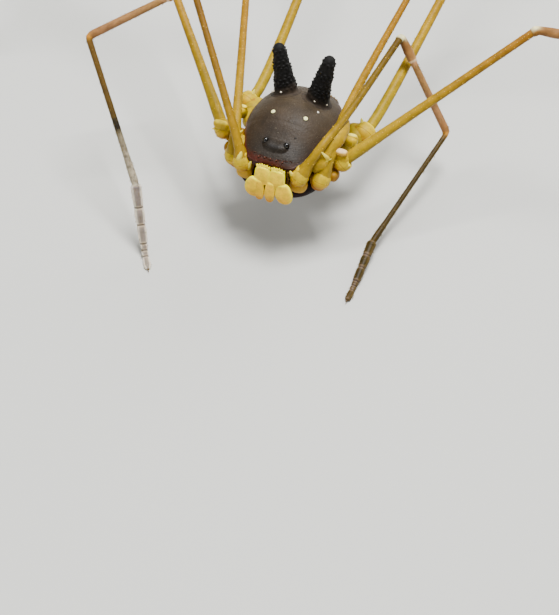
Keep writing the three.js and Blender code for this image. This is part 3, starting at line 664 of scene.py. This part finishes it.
def lobe(points, widths, thick):
    """Flat lobe: rings along a curve, wide across it and thin from front to back, their front
    hollowed a little and their edge raised; its ends are rounded. With each point's share of
    the edge, share of the length and way to the front."""
    line = through(points, 24)
    share, angle = grid(0, 1, len(line), 44)
    along = unit(np.gradient(line, axis=0))
    sideways = unit(np.cross([0, 1.0, 0], along))
    front = np.cross(along, sideways)
    front *= np.sign(front[:, 1:2])
    end = (1 - (2 * share - 1) ** 10) ** 0.45 + 0.02
    wide, deep = squared(np.cos(angle), 0.85), squared(np.sin(angle), 0.9)
    width = eased(widths, share) * end
    depth = thick * (0.3 + 0.7 * end) * (0.92 + 0.08 * np.abs(wide) ** 4) * end**0.3
    edge = np.maximum(np.abs(wide) ** 5, 1 - soft_step(np.minimum(share, 1 - share), 0.03, 0.13))
    hollow = np.where(deep > 0, 0.03 * (1 - edge), 0)
    rings = line[:, None] + (wide * width)[..., None] * sideways[:, None]
    return rings + (deep * depth - hollow)[..., None] * front[:, None], edge, share, deep


# Thin satin cuticle over yellow tissue: warm and a little see-through, clouded at two thirds of a
# millimetre, with fine relief that is drawn coarser than life, down to a twentieth of one.
leg_cuticle = clouded(
    "yellow_leg_cuticle", {"Scale": 1500.0, "Detail": 5.0, "Roughness": 0.68},
    (0.3, 0.7, 0.68, 1.25), (0.45, 0.00003), Roughness=0.5, Specular_IOR_Level=0.2,
    Subsurface_Weight=0.1, Subsurface_Radius=(0.0005, 0.0003, 0.00005), Subsurface_Scale=1.0,
)[0]
PALP_LOBES = [  # lean to the left, curve, half widths along it, half thickness, its colours
    (0.28, [[0.58, 6.62, -1.95], [0.58, 6.8, -2.7], [0.62, 6.86, -3.4]],
     [[0, 0.5], [0.25, 0.59], [0.75, 0.59], [1, 0.46]], 0.24, "#ffd400", "#fff000", "#f0bc00"),
    (0.29, [[1.0, 6.84, -2.95], [1.2, 7.0, -3.8], [1.14, 6.94, -4.6]],
     [[0, 0.42], [0.35, 0.64], [0.7, 0.64], [1, 0.4]], 0.28, "#f8c800", "#fff000", "#cc8c00"),
    (-0.04, [[0.5, 6.86, -3.0], [0.42, 7.02, -4.0], [0.4, 6.92, -4.8]],
     [[0, 0.34], [0.5, 0.4], [1, 0.27]], 0.28, "#f0bc00", "#fcdc00", "#a85c00"),
]
TEETH = np.linspace(-0.44, 0.44, 6)
for name, side in SIDES:
    skins = []
    for lean, points, widths, thick, middle, edge_colour, low in PALP_LOBES:
        points = np.array(points) + [side * lean, 0, 0]
        rings, edge, share, deep = lobe(points, widths, thick)
        tint = between(middle, low, soft_step(share, 0.45, 1.0))
        tint = between(tint, edge_colour, edge * (1 - 0.6 * share))
        # The back of each lobe is painted darker, as painted shade.
        tint = between(tint, "#7a4c00", 0.6 * soft_step(-deep, 0.2, 0.8))
        skins.append(closed_skin(placed(rings, side), tint))
    across, forward, up = PALP_LOBES[0][1][0]
    seats = [[across + side * 0.28 + at, forward, up - 0.02 - 0.35 * at**2] for at in TEETH]
    outs = heading([[0.5 * at, 0.1, 1] for at in TEETH], side)
    skins.append(spikes(placed(seats, side), outs, [0.26, 0.32, 0.27, 0.33, 0.28, 0.24], 0.115,
                        [(-1.0, 1.3), (0, 1.0), (0.5, 0.8), (0.85, 0.45)], 12, "#ffec00"))
    put(f"{name}_feeler", skins, leg_cuticle, [f"{name}_pedipalp"])

    hump = lobe([[0.42, 5.72, -2.4], [0.42, 5.8, -2.85], [0.42, 5.76, -3.3]],
                [[0, 0.26], [0.5, 0.33], [1, 0.26]], 0.4)[0]
    hand = through([[0.42, 5.85, -3.0], [0.4, 6.0, -3.6], [0.36, 5.85, -4.1]], 20)
    grip = eased([[0, 0.26], [0.5, 0.27], [0.85, 0.18], [1, 0.03]], np.linspace(0, 1, len(hand)))
    level_circle = round_about(all_round(24), [1, 0, 0], [0, 1, 0])
    hand = hand[:, None] + grip[:, None, None] * level_circle
    skins = [closed_skin(placed(hump, side), "#704400"), closed_skin(placed(hand, side), "#4c2800")]
    put(f"{name}_jaw", skins, leg_cuticle, [f"{name}_chelicera"])

# Brown beads edge the gap between the left feeler and the first leg.
seats = [[1.5 + 0.03 * np.cos(9 * up), 6.32, up] for up in np.linspace(-2.2, -3.3, 7)]
beads = spikes(placed(seats), heading([0, 1, 0.4]), 0.1, 0.095, DOME_PROFILE, 14, "#5c4000")
put("gape_beads", [beads], leg_cuticle)


# The legs
# A leg is a chain of hard tubes joined by soft skin: a base on the belly, a cup, a thigh, a short
# knee piece, a shin, a dark shank and a foot of short rings. Its piece has one skin from hip to toe
# and closed skins for the base's stem, cup, swellings and spines, set into one another.
COXAE = {  # root in the belly and its radius, cup and its radius
    1: ([1.5, 4.7, -3.9], 0.7, [2.25, 5.85, -2.75], 0.7),
    2: ([2.3, 3.8, -4.2], 0.7, [3.65, 5.0, -3.2], 0.7),
    3: ([2.5, 2.2, -4.0], 0.8, [4.75, 3.6, -2.2], 0.7),
    4: ([1.9, -0.3, -4.0], 1.25, [4.8, -1.1, -3.05], 0.8),
}
LUMPS = {  # swellings of the base: centre, half sizes, colour, and the paler colour painted on its top as highlight
    1: [([2.1, 5.65, -3.6], [0.68, 0.55, 0.68], "#b88c00", "#c49c00"),
        ([2.34, 5.74, -2.28], [0.48, 0.38, 0.5], "#d0a800", "#f0cc00")],
    2: [([3.4, 4.75, -3.7], [0.62, 0.6, 0.6], "#945c00", "#b07c08"),
        ([3.3, 4.42, -2.35], [0.66, 0.7, 0.6], "#a88800", "#b09000"),
        ([4.3, 4.15, -3.2], [0.42, 0.5, 0.42], "#8c6000", "#a87c08")],
    3: [([4.7, 3.6, -2.05], [0.68, 0.52, 0.8], "#b89400", "#c09c00"),
        ([4.64, 3.84, -1.1], [0.56, 0.3, 0.22], "#b89030", "#ecc898")],
    "right_leg_3": [([4.7, 3.6, -2.05], [0.68, 0.52, 0.8], "#b89400", "#c09c00"),
                    ([4.8, 3.95, -1.5], [0.62, 0.24, 0.42], "#c8a400", "#ffe040")],
    4: [([4.1, -0.9, -3.3], [0.95, 0.95, 0.85], "#a48800", "#b09400"),
        ([3.7, 0.4, -3.2], [0.8, 0.9, 0.7], "#a48800", "#b49800"),
        ([4.48, 1.0, -2.3], [0.54, 0.5, 0.5], "#a88c00", "#d4b000"),
        ([4.45, 0.9, -1.88], [0.5, 0.2, 0.16], "#d0ac00", "#ffec60")],
}
SPURS = {  # blunt spines of the base: foot, tip and radius
    "left_leg_1": [([1.78, 6.05, -2.65], [1.66, 6.32, -1.92], 0.2)],
    "right_leg_1": [([2.44, 6.15, -2.4], [2.2, 6.2, -1.45], 0.27),
                    ([1.72, 6.0, -3.0], [1.4, 6.3, -2.05], 0.2)],
    2: [([3.66, 4.15, -1.85], [3.24, 4.1, -1.25], 0.15)],
    "left_leg_2": [([3.98, 4.7, -1.25], [3.62, 5.14, -0.42], 0.17),
                   ([3.84, 4.92, -1.42], [4.24, 4.55, -1.3], 0.1)],
    3: [([5.2, 3.8, -2.2], [5.5, 4.1, -1.9], 0.13), ([5.1, 1.6, -2.1], [5.6, 1.62, -1.72], 0.11)],
    4: [([4.6, -1.2, -2.8], [4.35, -1.55, -2.0], 0.24)],
}
DRAWN_IN = {"right_leg_2": 0.3}  # how far that base is drawn in towards the belly
POSE = {  # guide points of the thigh, then knee, ankle, heel and toe, on the floor's axes
    "left_leg_1": ([[3.02, 6.98, 9.75], [5.06, 10.1, 10.15]],
                   [9.2, 17.3, 11.2], [13.0, 14.4, 3.9], [7.0, 5.4, 1.2], [5.0, 0.5]),
    "left_leg_2": ([[3.9, 7.5, 8.9], [4.85, 10.95, 9.25]],
                   [10.8, 24.3, 10.8], [24.0, 27.0, 21.0], [29.5, 21.5, 2.5], [40, 20]),
    "left_leg_3": ([[5.8, 7.7, 8.7]],
                   [18.6, 13.3, 15.4], [28.5, 8.5, 17.0], [32.0, 7.0, 1.7], [38, 4]),
    "left_leg_4": ([[7.3, 12.9, 6.9]],
                   [16.1, 29.2, 12.8], [22.0, 39.0, 21.0], [26.5, 46.5, 2.1], [31, 54]),
    "right_leg_1": ([[-3.2, 8.8, 9.2]],
                    [-6.4, 17.5, 16.0], [-14.3, 16.2, 12.2], [-10.8, 8.1, 4.7], [-9.9, 3.6]),
    "right_leg_2": ([[-3.32, 9.4, 7.95]],
                    [-2.3, 28.3, 11.6], [-16.5, 32.0, 20.0], [-25.5, 27.5, 2.5], [-36, 27]),
    "right_leg_3": ([[-4.5, 11.7, 8.2]],
                    [-9.6, 25.8, 13.6], [-17.0, 33.5, 17.0], [-20.5, 37.0, 1.7], [-25, 42]),
    "right_leg_4": ([[-1.7, 16.3, 6.5]],
                    [5.2, 33.0, 13.8], [1.0, 44.0, 21.0], [-2.5, 52.0, 2.1], [-6, 60]),
}
FLANGE = {  # the broad root of the second left thigh: its middle line and its radius
    "left_leg_2": [[3.2, 4.7, -2.3, 0.5], [3.4, 4.62, -1.7, 0.66], [3.55, 4.1, -1.05, 0.62],
                   [3.96, 3.2, -0.62, 0.68], [4.08, 2.1, -0.46, 0.56], [4.02, 0.9, -0.32, 0.24]],
}
THIGH_RADII = {  # share of the thigh's length, radius
    "left_leg_2": [[0, 0.58], [0.03, 0.54], [0.07, 0.4], [0.24, 0.36], [0.5, 0.3], [0.94, 0.26],
                   [1, 0.29]],
    1: [[0, 0.6], [0.03, 0.58], [0.08, 0.42], [0.14, 0.34], [0.5, 0.28], [0.93, 0.26], [1, 0.28]],
    2: [[0, 0.6], [0.02, 0.58], [0.06, 0.46], [0.12, 0.4], [0.22, 0.34], [0.5, 0.3], [0.94, 0.26],
        [1, 0.29]],
    3: [[0, 0.42], [0.08, 0.44], [0.22, 0.38], [0.5, 0.33], [0.94, 0.29], [1, 0.32]],
    4: [[0, 0.4], [0.1, 0.42], [0.5, 0.36], [0.94, 0.31], [1, 0.34]],
}
THIGH_COLOURS = {  # upper and lower side, near the body, halfway and at the knee; the lower side's colours are painted shade
    "left_leg_1": (["#a48200", "#725800", "#503a00"], ["#8c7000", "#5e4800", "#3c2c00"]),
    "right_leg_1": (["#a07c00", "#805c04", "#6c4808"], ["#846800", "#644a00", "#4e3404"]),
    2: (["#a48400", "#946c00", "#8c5c08"], ["#8c7200", "#785c00", "#6c4804"]),
    3: (["#a48600", "#987400", "#905e04"], ["#8a7200", "#7a6000", "#6c4a00"]),
    4: (["#a48a00", "#a07c00", "#986400"], ["#887400", "#806600", "#745000"]),
}
KNEE_LENGTH = {1: 2.0, 2: 2.6, 3: 2.3, 4: 2.6}  # of the short piece between thigh and shin
TOE_RINGS = {  # where the rings of the foot part, as shares of its length, and their radii
    1: ([0, 0.31, 0.49, 0.69, 0.76, 0.83, 1], [0.42, 0.39, 0.36, 0.28, 0.27, 0.28]),
    2: (np.linspace(0, 1, 13), [0.25] * 12),
    3: (np.linspace(0, 1, 8), [0.26] * 7),
    4: (np.linspace(0, 1, 9), [0.26] * 8),
}
TOE_HEIGHT = 0.2  # of the foot's middle line over the floor
BEND_RADIUS = 0.4
STEP = 0.065  # between two rings of a leg
AROUND = 20  # points round a leg
HAIRS = 420  # on each leg
GRAIN_ROWS = 7  # along each thigh
CUP_GRAINS = 26
CUP = [  # the cup's outline: height and radius as shares of its radius, and its colour
    (-1.0, 0.03, "#a87400"), (-0.95, 0.35, "#a87400"), (-0.8, 0.62, "#b48400"),
    (-0.5, 0.88, "#c09800"), (-0.16, 0.99, "#c8a400"), (-0.1, 0.985, "#946c00"),
    (-0.04, 1.0, "#c8a800"), (0.3, 0.99, "#c4a400"), (0.52, 0.92, "#c8a800"),
    (0.66, 0.86, "#ecd000"), (0.72, 0.8, "#f4dc20"), (0.7, 0.7, "#a88000"),
    (0.64, 0.55, "#7c5c00"), (0.62, 0.3, "#7c5c00"), (0.62, 0.03, "#7c5c00"),
]
# The base of the two front pairs is a closed bulge: the same foot, rounded off on top.
EGG = [*CUP[:8], (0.55, 0.9, "#c4a400"), (0.75, 0.76, "#c4a400"), (0.9, 0.55, "#c4a400"),
       (0.98, 0.3, "#c4a400"), (1.0, 0.03, "#c4a400")]


def own(table, name):
    """Row of a table for one leg by its name, or else for its pair by its number."""
    return table.get(name) or table[int(name[-1])]


def rounded(points, corners, radius):
    """Line of points whose sharp corners, named by their place in it, turn on a small arc."""
    out = []
    for i, point in enumerate(points):
        if i not in corners:
            out.append(point[None])
            continue
        before, after = unit(points[i - 1] - point), unit(points[i + 1] - point)
        t = np.linspace(0, 1, 9)[:, None]
        start, end = point + before * radius, point + after * radius
        out.append((1 - t) ** 2 * start + 2 * t * (1 - t) * point + t**2 * end)
    return np.concatenate(out)


def measured(points, step):
    """Line of points laid out again at even steps, with the distance walked to each."""
    walked = np.concatenate([[0], np.cumsum(np.linalg.norm(np.diff(points, axis=0), axis=1))])
    at = np.linspace(0, walked[-1], int(walked[-1] / step) + 2)
    return np.stack([np.interp(at, walked, points[:, k]) for k in range(3)], -1), at


def carried(line):
    """Unit directions along, beside and above a line, carried on from point to point."""
    along = unit(np.gradient(line, axis=0))
    beside = np.empty_like(along)
    beside[0] = unit(np.cross([0, 0, 1.0], along[0]))
    for i in range(1, len(line)):
        beside[i] = unit(beside[i - 1] - along[i] * (beside[i - 1] @ along[i]))
    return along, beside, np.cross(along, beside)


def sleeve(line, radius, count):
    """Rings round a line, one radius for each ring, and the directions they stand out in."""
    along, beside, above = carried(line)
    out = round_about(all_round(count), beside[:, None], above[:, None])
    return line[:, None] + radius[:, None, None] * out, out


def rod(line, radius, count, first, last, share):
    """Closed tube along a line of the body, its colour running from first to last by a share."""
    rings = sleeve(line, radius, count)[0] + SHIFT
    return closed_skin(rings, between(first, last, share)[:, None])


def cup_skin(outline_rows, middle, axis, radius, seed):
    """Cup turned about an axis from its outline: each ring stands at a height and has a radius,
    both as shares of the cup's radius; its rim is slanted and a little uneven."""
    outline = through([[*row[:2], 0] for row in outline_rows], 5)
    place = np.linspace(0, len(outline_rows) - 1, len(outline))
    tint = blended([(i, row[2]) for i, row in enumerate(outline_rows)], place)
    axis = unit(axis)
    beside = unit(np.cross([0, 0, 1.0], axis))
    turn = all_round(54)
    height, wide = outline[:, :1], np.maximum(outline[:, 1:2], 0.02)
    near_rim = soft_step(place, 7, 9)[:, None]
    uneven = 1 + 0.035 * np.cos(2 * turn + seed) + 0.025 * np.cos(3 * turn + 2 * seed)
    notched = 1 + 0.02 * near_rim * np.cos(9 * turn + seed) * (wide > 0.7)
    height = height + near_rim * (0.1 * np.sin(turn) - 0.03)
    wide = wide * uneven * notched
    out = round_about(turn, beside, np.cross(axis, beside))
    return middle + radius * (height[..., None] * axis + wide[..., None] * out), tint[:, None]


def lump_skin(centre, halves, side, seed):
    """Swelling: a ball stretched to its half sizes, squared a little and made uneven by waves."""
    way, tilt, turn = ball_ways(0.03, 34, 46)
    boxy = (np.abs(way) ** 2.6).sum(-1) ** (-1 / 2.6)
    swell = boxy * (1 + 0.04 * np.sin(3 * turn + seed) * np.sin(tilt) ** 2) * 0.97
    return placed(centre + way * halves * swell[..., None], side), way


draw = np.random.default_rng(11)
for name, (rise, knee, ankle, heel, foot) in POSE.items():
    number = int(name[-1])
    side = 1 if name.startswith("left") else -1
    drawn_in = np.array([DRAWN_IN.get(name, 0), 0, 0])
    root, root_radius, ball, ball_radius = COXAE[number]
    knee, ankle, heel = (np.array(p) for p in (knee, ankle, heel))
    toe = np.array([*foot, TOE_HEIGHT])
    back = unit((heel - toe) * [1, 1, 0])
    sole = toe + back * (1.2 if number == 1 else 1.6)
    hip = on_body(np.array(ball) - drawn_in, side)
    thigh = through([hip, *rise, knee])
    chain = np.concatenate([thigh, ankle[None], through([heel, sole, toe])])
    line = rounded(chain, {len(thigh) - 1, len(thigh), len(thigh) + 1}, BEND_RADIUS)
    line, walked = measured(line, STEP)
    at_knee, at_ankle, at_heel = (
        walked[np.argmin(np.linalg.norm(line - p, axis=1))] for p in (knee, ankle, heel)
    )
    at_toe = walked[-1]
    cap = at_knee + KNEE_LENGTH[number]
    shin_radius = 0.27 if number == 1 else 0.235
    # The right front foot is painted pale as lit; the left one is painted dark, as shaded.
    lit_front_foot = name == "right_leg_1"
    shank = 1.15 if lit_front_foot else 1.0
    slim = 0.9 if name == "left_leg_1" else 1.0
    tables = [
        eased(own(THIGH_RADII, name), walked / at_knee),
        eased([[at_knee, 0.3], [at_knee + 0.5, 0.33], [at_knee + 1.2, 0.37], [cap - 0.2, 0.35],
               [cap - 0.06, 0.36], [cap + 0.05, 0.33], [cap + 0.14, shin_radius],
               [cap + 1.2, shin_radius], [at_ankle - 1.5, shin_radius + 0.03],
               [at_ankle - 0.25, 0.3], [at_ankle, 0.25]], walked),
        shank * eased([[at_ankle, 0.25], [at_ankle + 0.3, 0.21], [at_ankle + 2, 0.2],
                       [at_heel - 2.5, 0.21], [at_heel - 0.4, 0.26], [at_heel, 0.22]], walked),
    ]
    share = (walked - at_heel) / (at_toe - at_heel)
    joints, ring_radii = TOE_RINGS[number]
    joints = np.array(joints)
    ring = np.clip(np.searchsorted(joints, share) - 1, 0, len(ring_radii) - 1)
    to_joint = np.abs(share[:, None] - joints[None]).min(1) * (at_toe - at_heel)
    in_ring = np.clip((share - joints[ring]) / (joints[ring + 1] - joints[ring]), 0, 1)
    toe_radius = slim * np.array(ring_radii)[ring] * (0.86 + 0.14 * np.sin(np.pi * in_ring**0.7))
    toe_radius *= 1 - 0.1 * bell(to_joint, 0.05) * (share < 0.98)
    toe_radius *= np.sqrt(np.clip((at_toe - walked) / 0.22 + 0.02, 0, 1))
    bands = [walked < at_knee, walked < at_ankle, walked < at_heel]
    radius = np.select(bands, tables, toe_radius) + 0.06 * bell(walked - at_knee + 0.12, 0.25)

    # Colours run along the leg, the upper side painted lighter as lit and the underside darker as
    # painted shade; the joints are paler. One front foot, in the light, is painted pale; the other,
    # in shade, is painted dark.
    shank_colour = "#5c4210" if lit_front_foot else "#443200"
    top_side, low_side = own(THIGH_COLOURS, name)
    shin = [(cap - 0.5, "#946838"), (cap - 0.12, "#a07444"), (cap, "#ecc8a0"),
            (cap + 0.2, "#b48458"), (cap + 0.7, "#98703f"), (at_ankle - 1.5, "#986c44"),
            (at_ankle - 0.3, "#986838"), (at_ankle, "#c88828"), (at_ankle + 0.3, "#6c4c18"),
            (at_ankle + 0.7, shank_colour), (at_heel - 1, "#3c2c00")]
    upper, lower = (
        blended([(0.8, near), (at_knee * 0.5, halfway), (at_knee - 0.6, far),
                 (at_knee + 0.6, beyond), *shin], walked)[:, None]
        for (near, halfway, far), beyond in ((top_side, "#8c6030"), (low_side, "#7a4e24"))
    )
    rings, out = sleeve(line, radius, AROUND)
    # The upper side is painted lighter as lit, the underside darker as painted shade.
    tint = between(lower, upper, 0.5 + 0.8 * out[..., 2])
    if lit_front_foot:
        ringed = blended([(0, "#70645a"), (0.1, "#786c64"), (1, "#8c8072")], share)
    else:
        ringed = blended([(0, "#382a04"), (0.6, "#302404"), (1, "#483610")], share)
    joint_colour = "#c8b498" if lit_front_foot else "#8c745c"
    ringed = between(ringed, joint_colour, 0.7 * bell(to_joint - 0.1, 0.06) * (share < 0.98))
    ringed = between(ringed, "#2c2018", bell(to_joint, 0.05) * (share < 0.98))
    beside_foot = np.abs(out @ np.cross(back, [0, 0, 1.0]))
    ringed = between(ringed[:, None], "#ece0cc" if lit_front_foot else "#544218",
                     0.9 * soft_step(beside_foot, 0.4, 0.8) * (to_joint[:, None] > 0.06))
    on_foot = np.broadcast_to(share[:, None] > 0, tint.shape[:2])
    tint = between(tint, ringed, on_foot)
    # The lit front foot's shank: a dark band, then painted pale as lit, with mottles.
    if lit_front_foot:
        shank_band = blended([(at_heel - 5.2, "#30260a"), (at_heel - 4.4, "#120c04"),
                              (at_heel - 4.0, "#746850"), (at_heel, "#b0a48c")], walked)
        near = (walked > at_heel - 5.2) & (walked <= at_heel)
        wave = walked[:, None] * 7 + 4 * np.sin(1.9 * np.arange(AROUND))
        mottle = np.sin(wave) + 0.6 * np.sin(2.3 * wave + 2 * np.cos(2.7 * np.arange(AROUND)))
        spotted = between(shank_band[:, None], "#2e2416",
                          soft_step(mottle, 0.1, 1.2) * 0.6 * (walked > at_heel - 4.1)[:, None])
        tint = between(tint, spotted, np.broadcast_to(near[:, None], tint.shape[:2]))
    bend = unit(line[np.argmin(np.abs(walked - at_knee))] - 0.5 * (line[0] + ankle))
    outer = soft_step(out @ bend, -0.6, 0.2) * bell(walked - at_knee + 0.1, 0.35)[:, None]
    tint = between(tint, "#f4e8b0", outer)
    rings = rings + SHIFT
    rings[..., 2] = np.maximum(rings[..., 2], 0)
    skins = [closed_skin(rings, tint)]

    # The base: a stem out of the belly, the cup with its pale rim, the swellings and the spines.
    stem, far = measured(np.stack([on_body(root, side), hip]), 0.05)
    far = far / far[-1]
    skins.append(rod(stem, root_radius + (ball_radius * 0.85 - root_radius) * far, 40,
                     "#542c00", "#a47400", soft_step(far, 0.3, 0.8)))
    outline_rows = EGG if number < 3 else CUP
    rings, tint = cup_skin(outline_rows, hip, thigh[4] - thigh[0], ball_radius, number + side)
    # The cup's underside is painted darker as shade.
    painted_under_shade = soft_step(-(rings[..., 2] - hip[2]), -0.1, 0.75)
    skins.append(closed_skin(rings + SHIFT, between(tint, "#8c4c00", 0.7 * painted_under_shade)))
    cup_out = (rings - hip)[:45].reshape(-1, 3)  # its outside, up to the rim
    for centre, halves, colour, lit_top_colour in own(LUMPS, name):
        rings, way = lump_skin(np.array(centre) - drawn_in, halves, side, number + side)
        # Each swelling's top is painted paler as highlight, and its underside darker as painted
        # shade.
        tint = between(colour, lit_top_colour, soft_step(way[..., 2], 0.35, 0.9))
        tint = between(tint, "#804c00", 0.45 * soft_step(-way[..., 2], 0.2, 0.95))
        skins.append(closed_skin(rings, tint))
    if name in FLANGE:
        table = np.array(FLANGE[name])
        flange = through(on_body(table[:, :3]), 16)
        far = np.linspace(0, 5, len(flange))
        wide = np.interp(far, np.arange(6), table[:, 3])
        wide = wide * np.sqrt(np.clip(np.minimum(far * 3, (5 - far) * 3), 0.01, 1))
        skins.append(rod(flange, wide, 40, "#b89400", "#a08000", far / 5))
    for seat, tip, thick in own(SPURS, name):
        seat, tip = on_body(seat - drawn_in, side), on_body(tip - drawn_in, side)
        spine, far = measured(np.stack([seat, tip]), 0.03)
        far = far / far[-1]
        taper = thick * (1 - 0.75 * far) * np.sqrt(np.clip((1 - far) * 6, 0.01, 1))
        skins.append(rod(spine, taper, 16, "#c8a800", "#ffec60", far * 1.6))
    parts = [f"{name}_{part}" for part in ("coxa", "femur", "tibia", "metatarsus", "tarsus")]
    put(f"{name}_skin", skins, leg_cuticle, parts)

    # Grains in rows along the thigh and on the cup, and short hairs on shin, shank and foot.
    along, beside, above = carried(line)
    seats, outs, sizes = [], [], []
    for row in range(GRAIN_ROWS):
        at = np.arange(1.4 + 0.12 * row, at_knee - 0.4, 0.4 if row == 2 and number > 1 else 1.1)
        at = at + draw.uniform(-0.16, 0.16, len(at))
        i = np.searchsorted(walked, at)
        turn = 2 * np.pi * (row + 0.25) / GRAIN_ROWS + draw.uniform(-0.2, 0.2, len(i))
        way = round_about(turn, beside[i], above[i])
        seats.append(line[i] + way * radius[i, None])
        outs.append(way + 0.5 * along[i])
        sizes.append(draw.uniform(0.6, 1.15, len(i)))
    picked = cup_out[draw.integers(0, len(cup_out), CUP_GRAINS)]
    seats.append(hip + picked)
    outs.append(picked)
    sizes.append(draw.uniform(0.6, 1.2, CUP_GRAINS))
    seats, outs, sizes = np.concatenate(seats), np.concatenate(outs), np.concatenate(sizes)
    grains = spikes(seats + SHIFT, outs, 0.065 * sizes, 0.038 * sizes,
                    [(-0.5, 1.0), (0.2, 0.95), (0.7, 0.6)], 7, "#d0a83c")
    put(f"{name}_grains", [grains], leg_cuticle)
    at = draw.uniform(cap, at_toe - 0.3, HAIRS)
    i = np.searchsorted(walked, at)
    turn = draw.uniform(0, 2 * np.pi, len(i))
    way = round_about(turn, beside[i], above[i])
    seats = line[i] + way * radius[i, None] * 0.9
    keep = seats[:, 2] > 0.12
    seats, way, i = seats[keep], way[keep], i[keep]
    lean = unit(way + along[i] * 1.1)
    length = draw.uniform(0.12, 0.26, len(i))
    lean[:, 2] = np.maximum(lean[:, 2], -(seats[:, 2] - 0.03) / length)
    hairs = spikes(seats + SHIFT, lean, length, 0.018, [(-0.1, 1.0), (0.6, 0.6)], 4, "#745a20")
    put(f"{name}_hairs", [hairs], leg_cuticle)

    # Claws: dark curved hooks at the tip of the foot, one on the front pairs, two behind.
    hooks = []
    for off in ([0] if number < 3 else [-0.12, 0.12]):
        aside = np.cross(back, [0, 0, 1.0]) * off
        bow = through([toe + aside + back * 0.15, toe + aside - back * 0.12 + [0, 0, 0.02],
                       toe + aside * 1.6 - back * 0.24 + [0, 0, -0.12]], 8)
        taper = np.linspace(0.06, 0.012, len(bow))
        hooks.append(rod(bow, taper, 10, "#5c4424", "#5c4424", 0 * taper))
    put(f"{name}_claws", hooks, leg_cuticle)
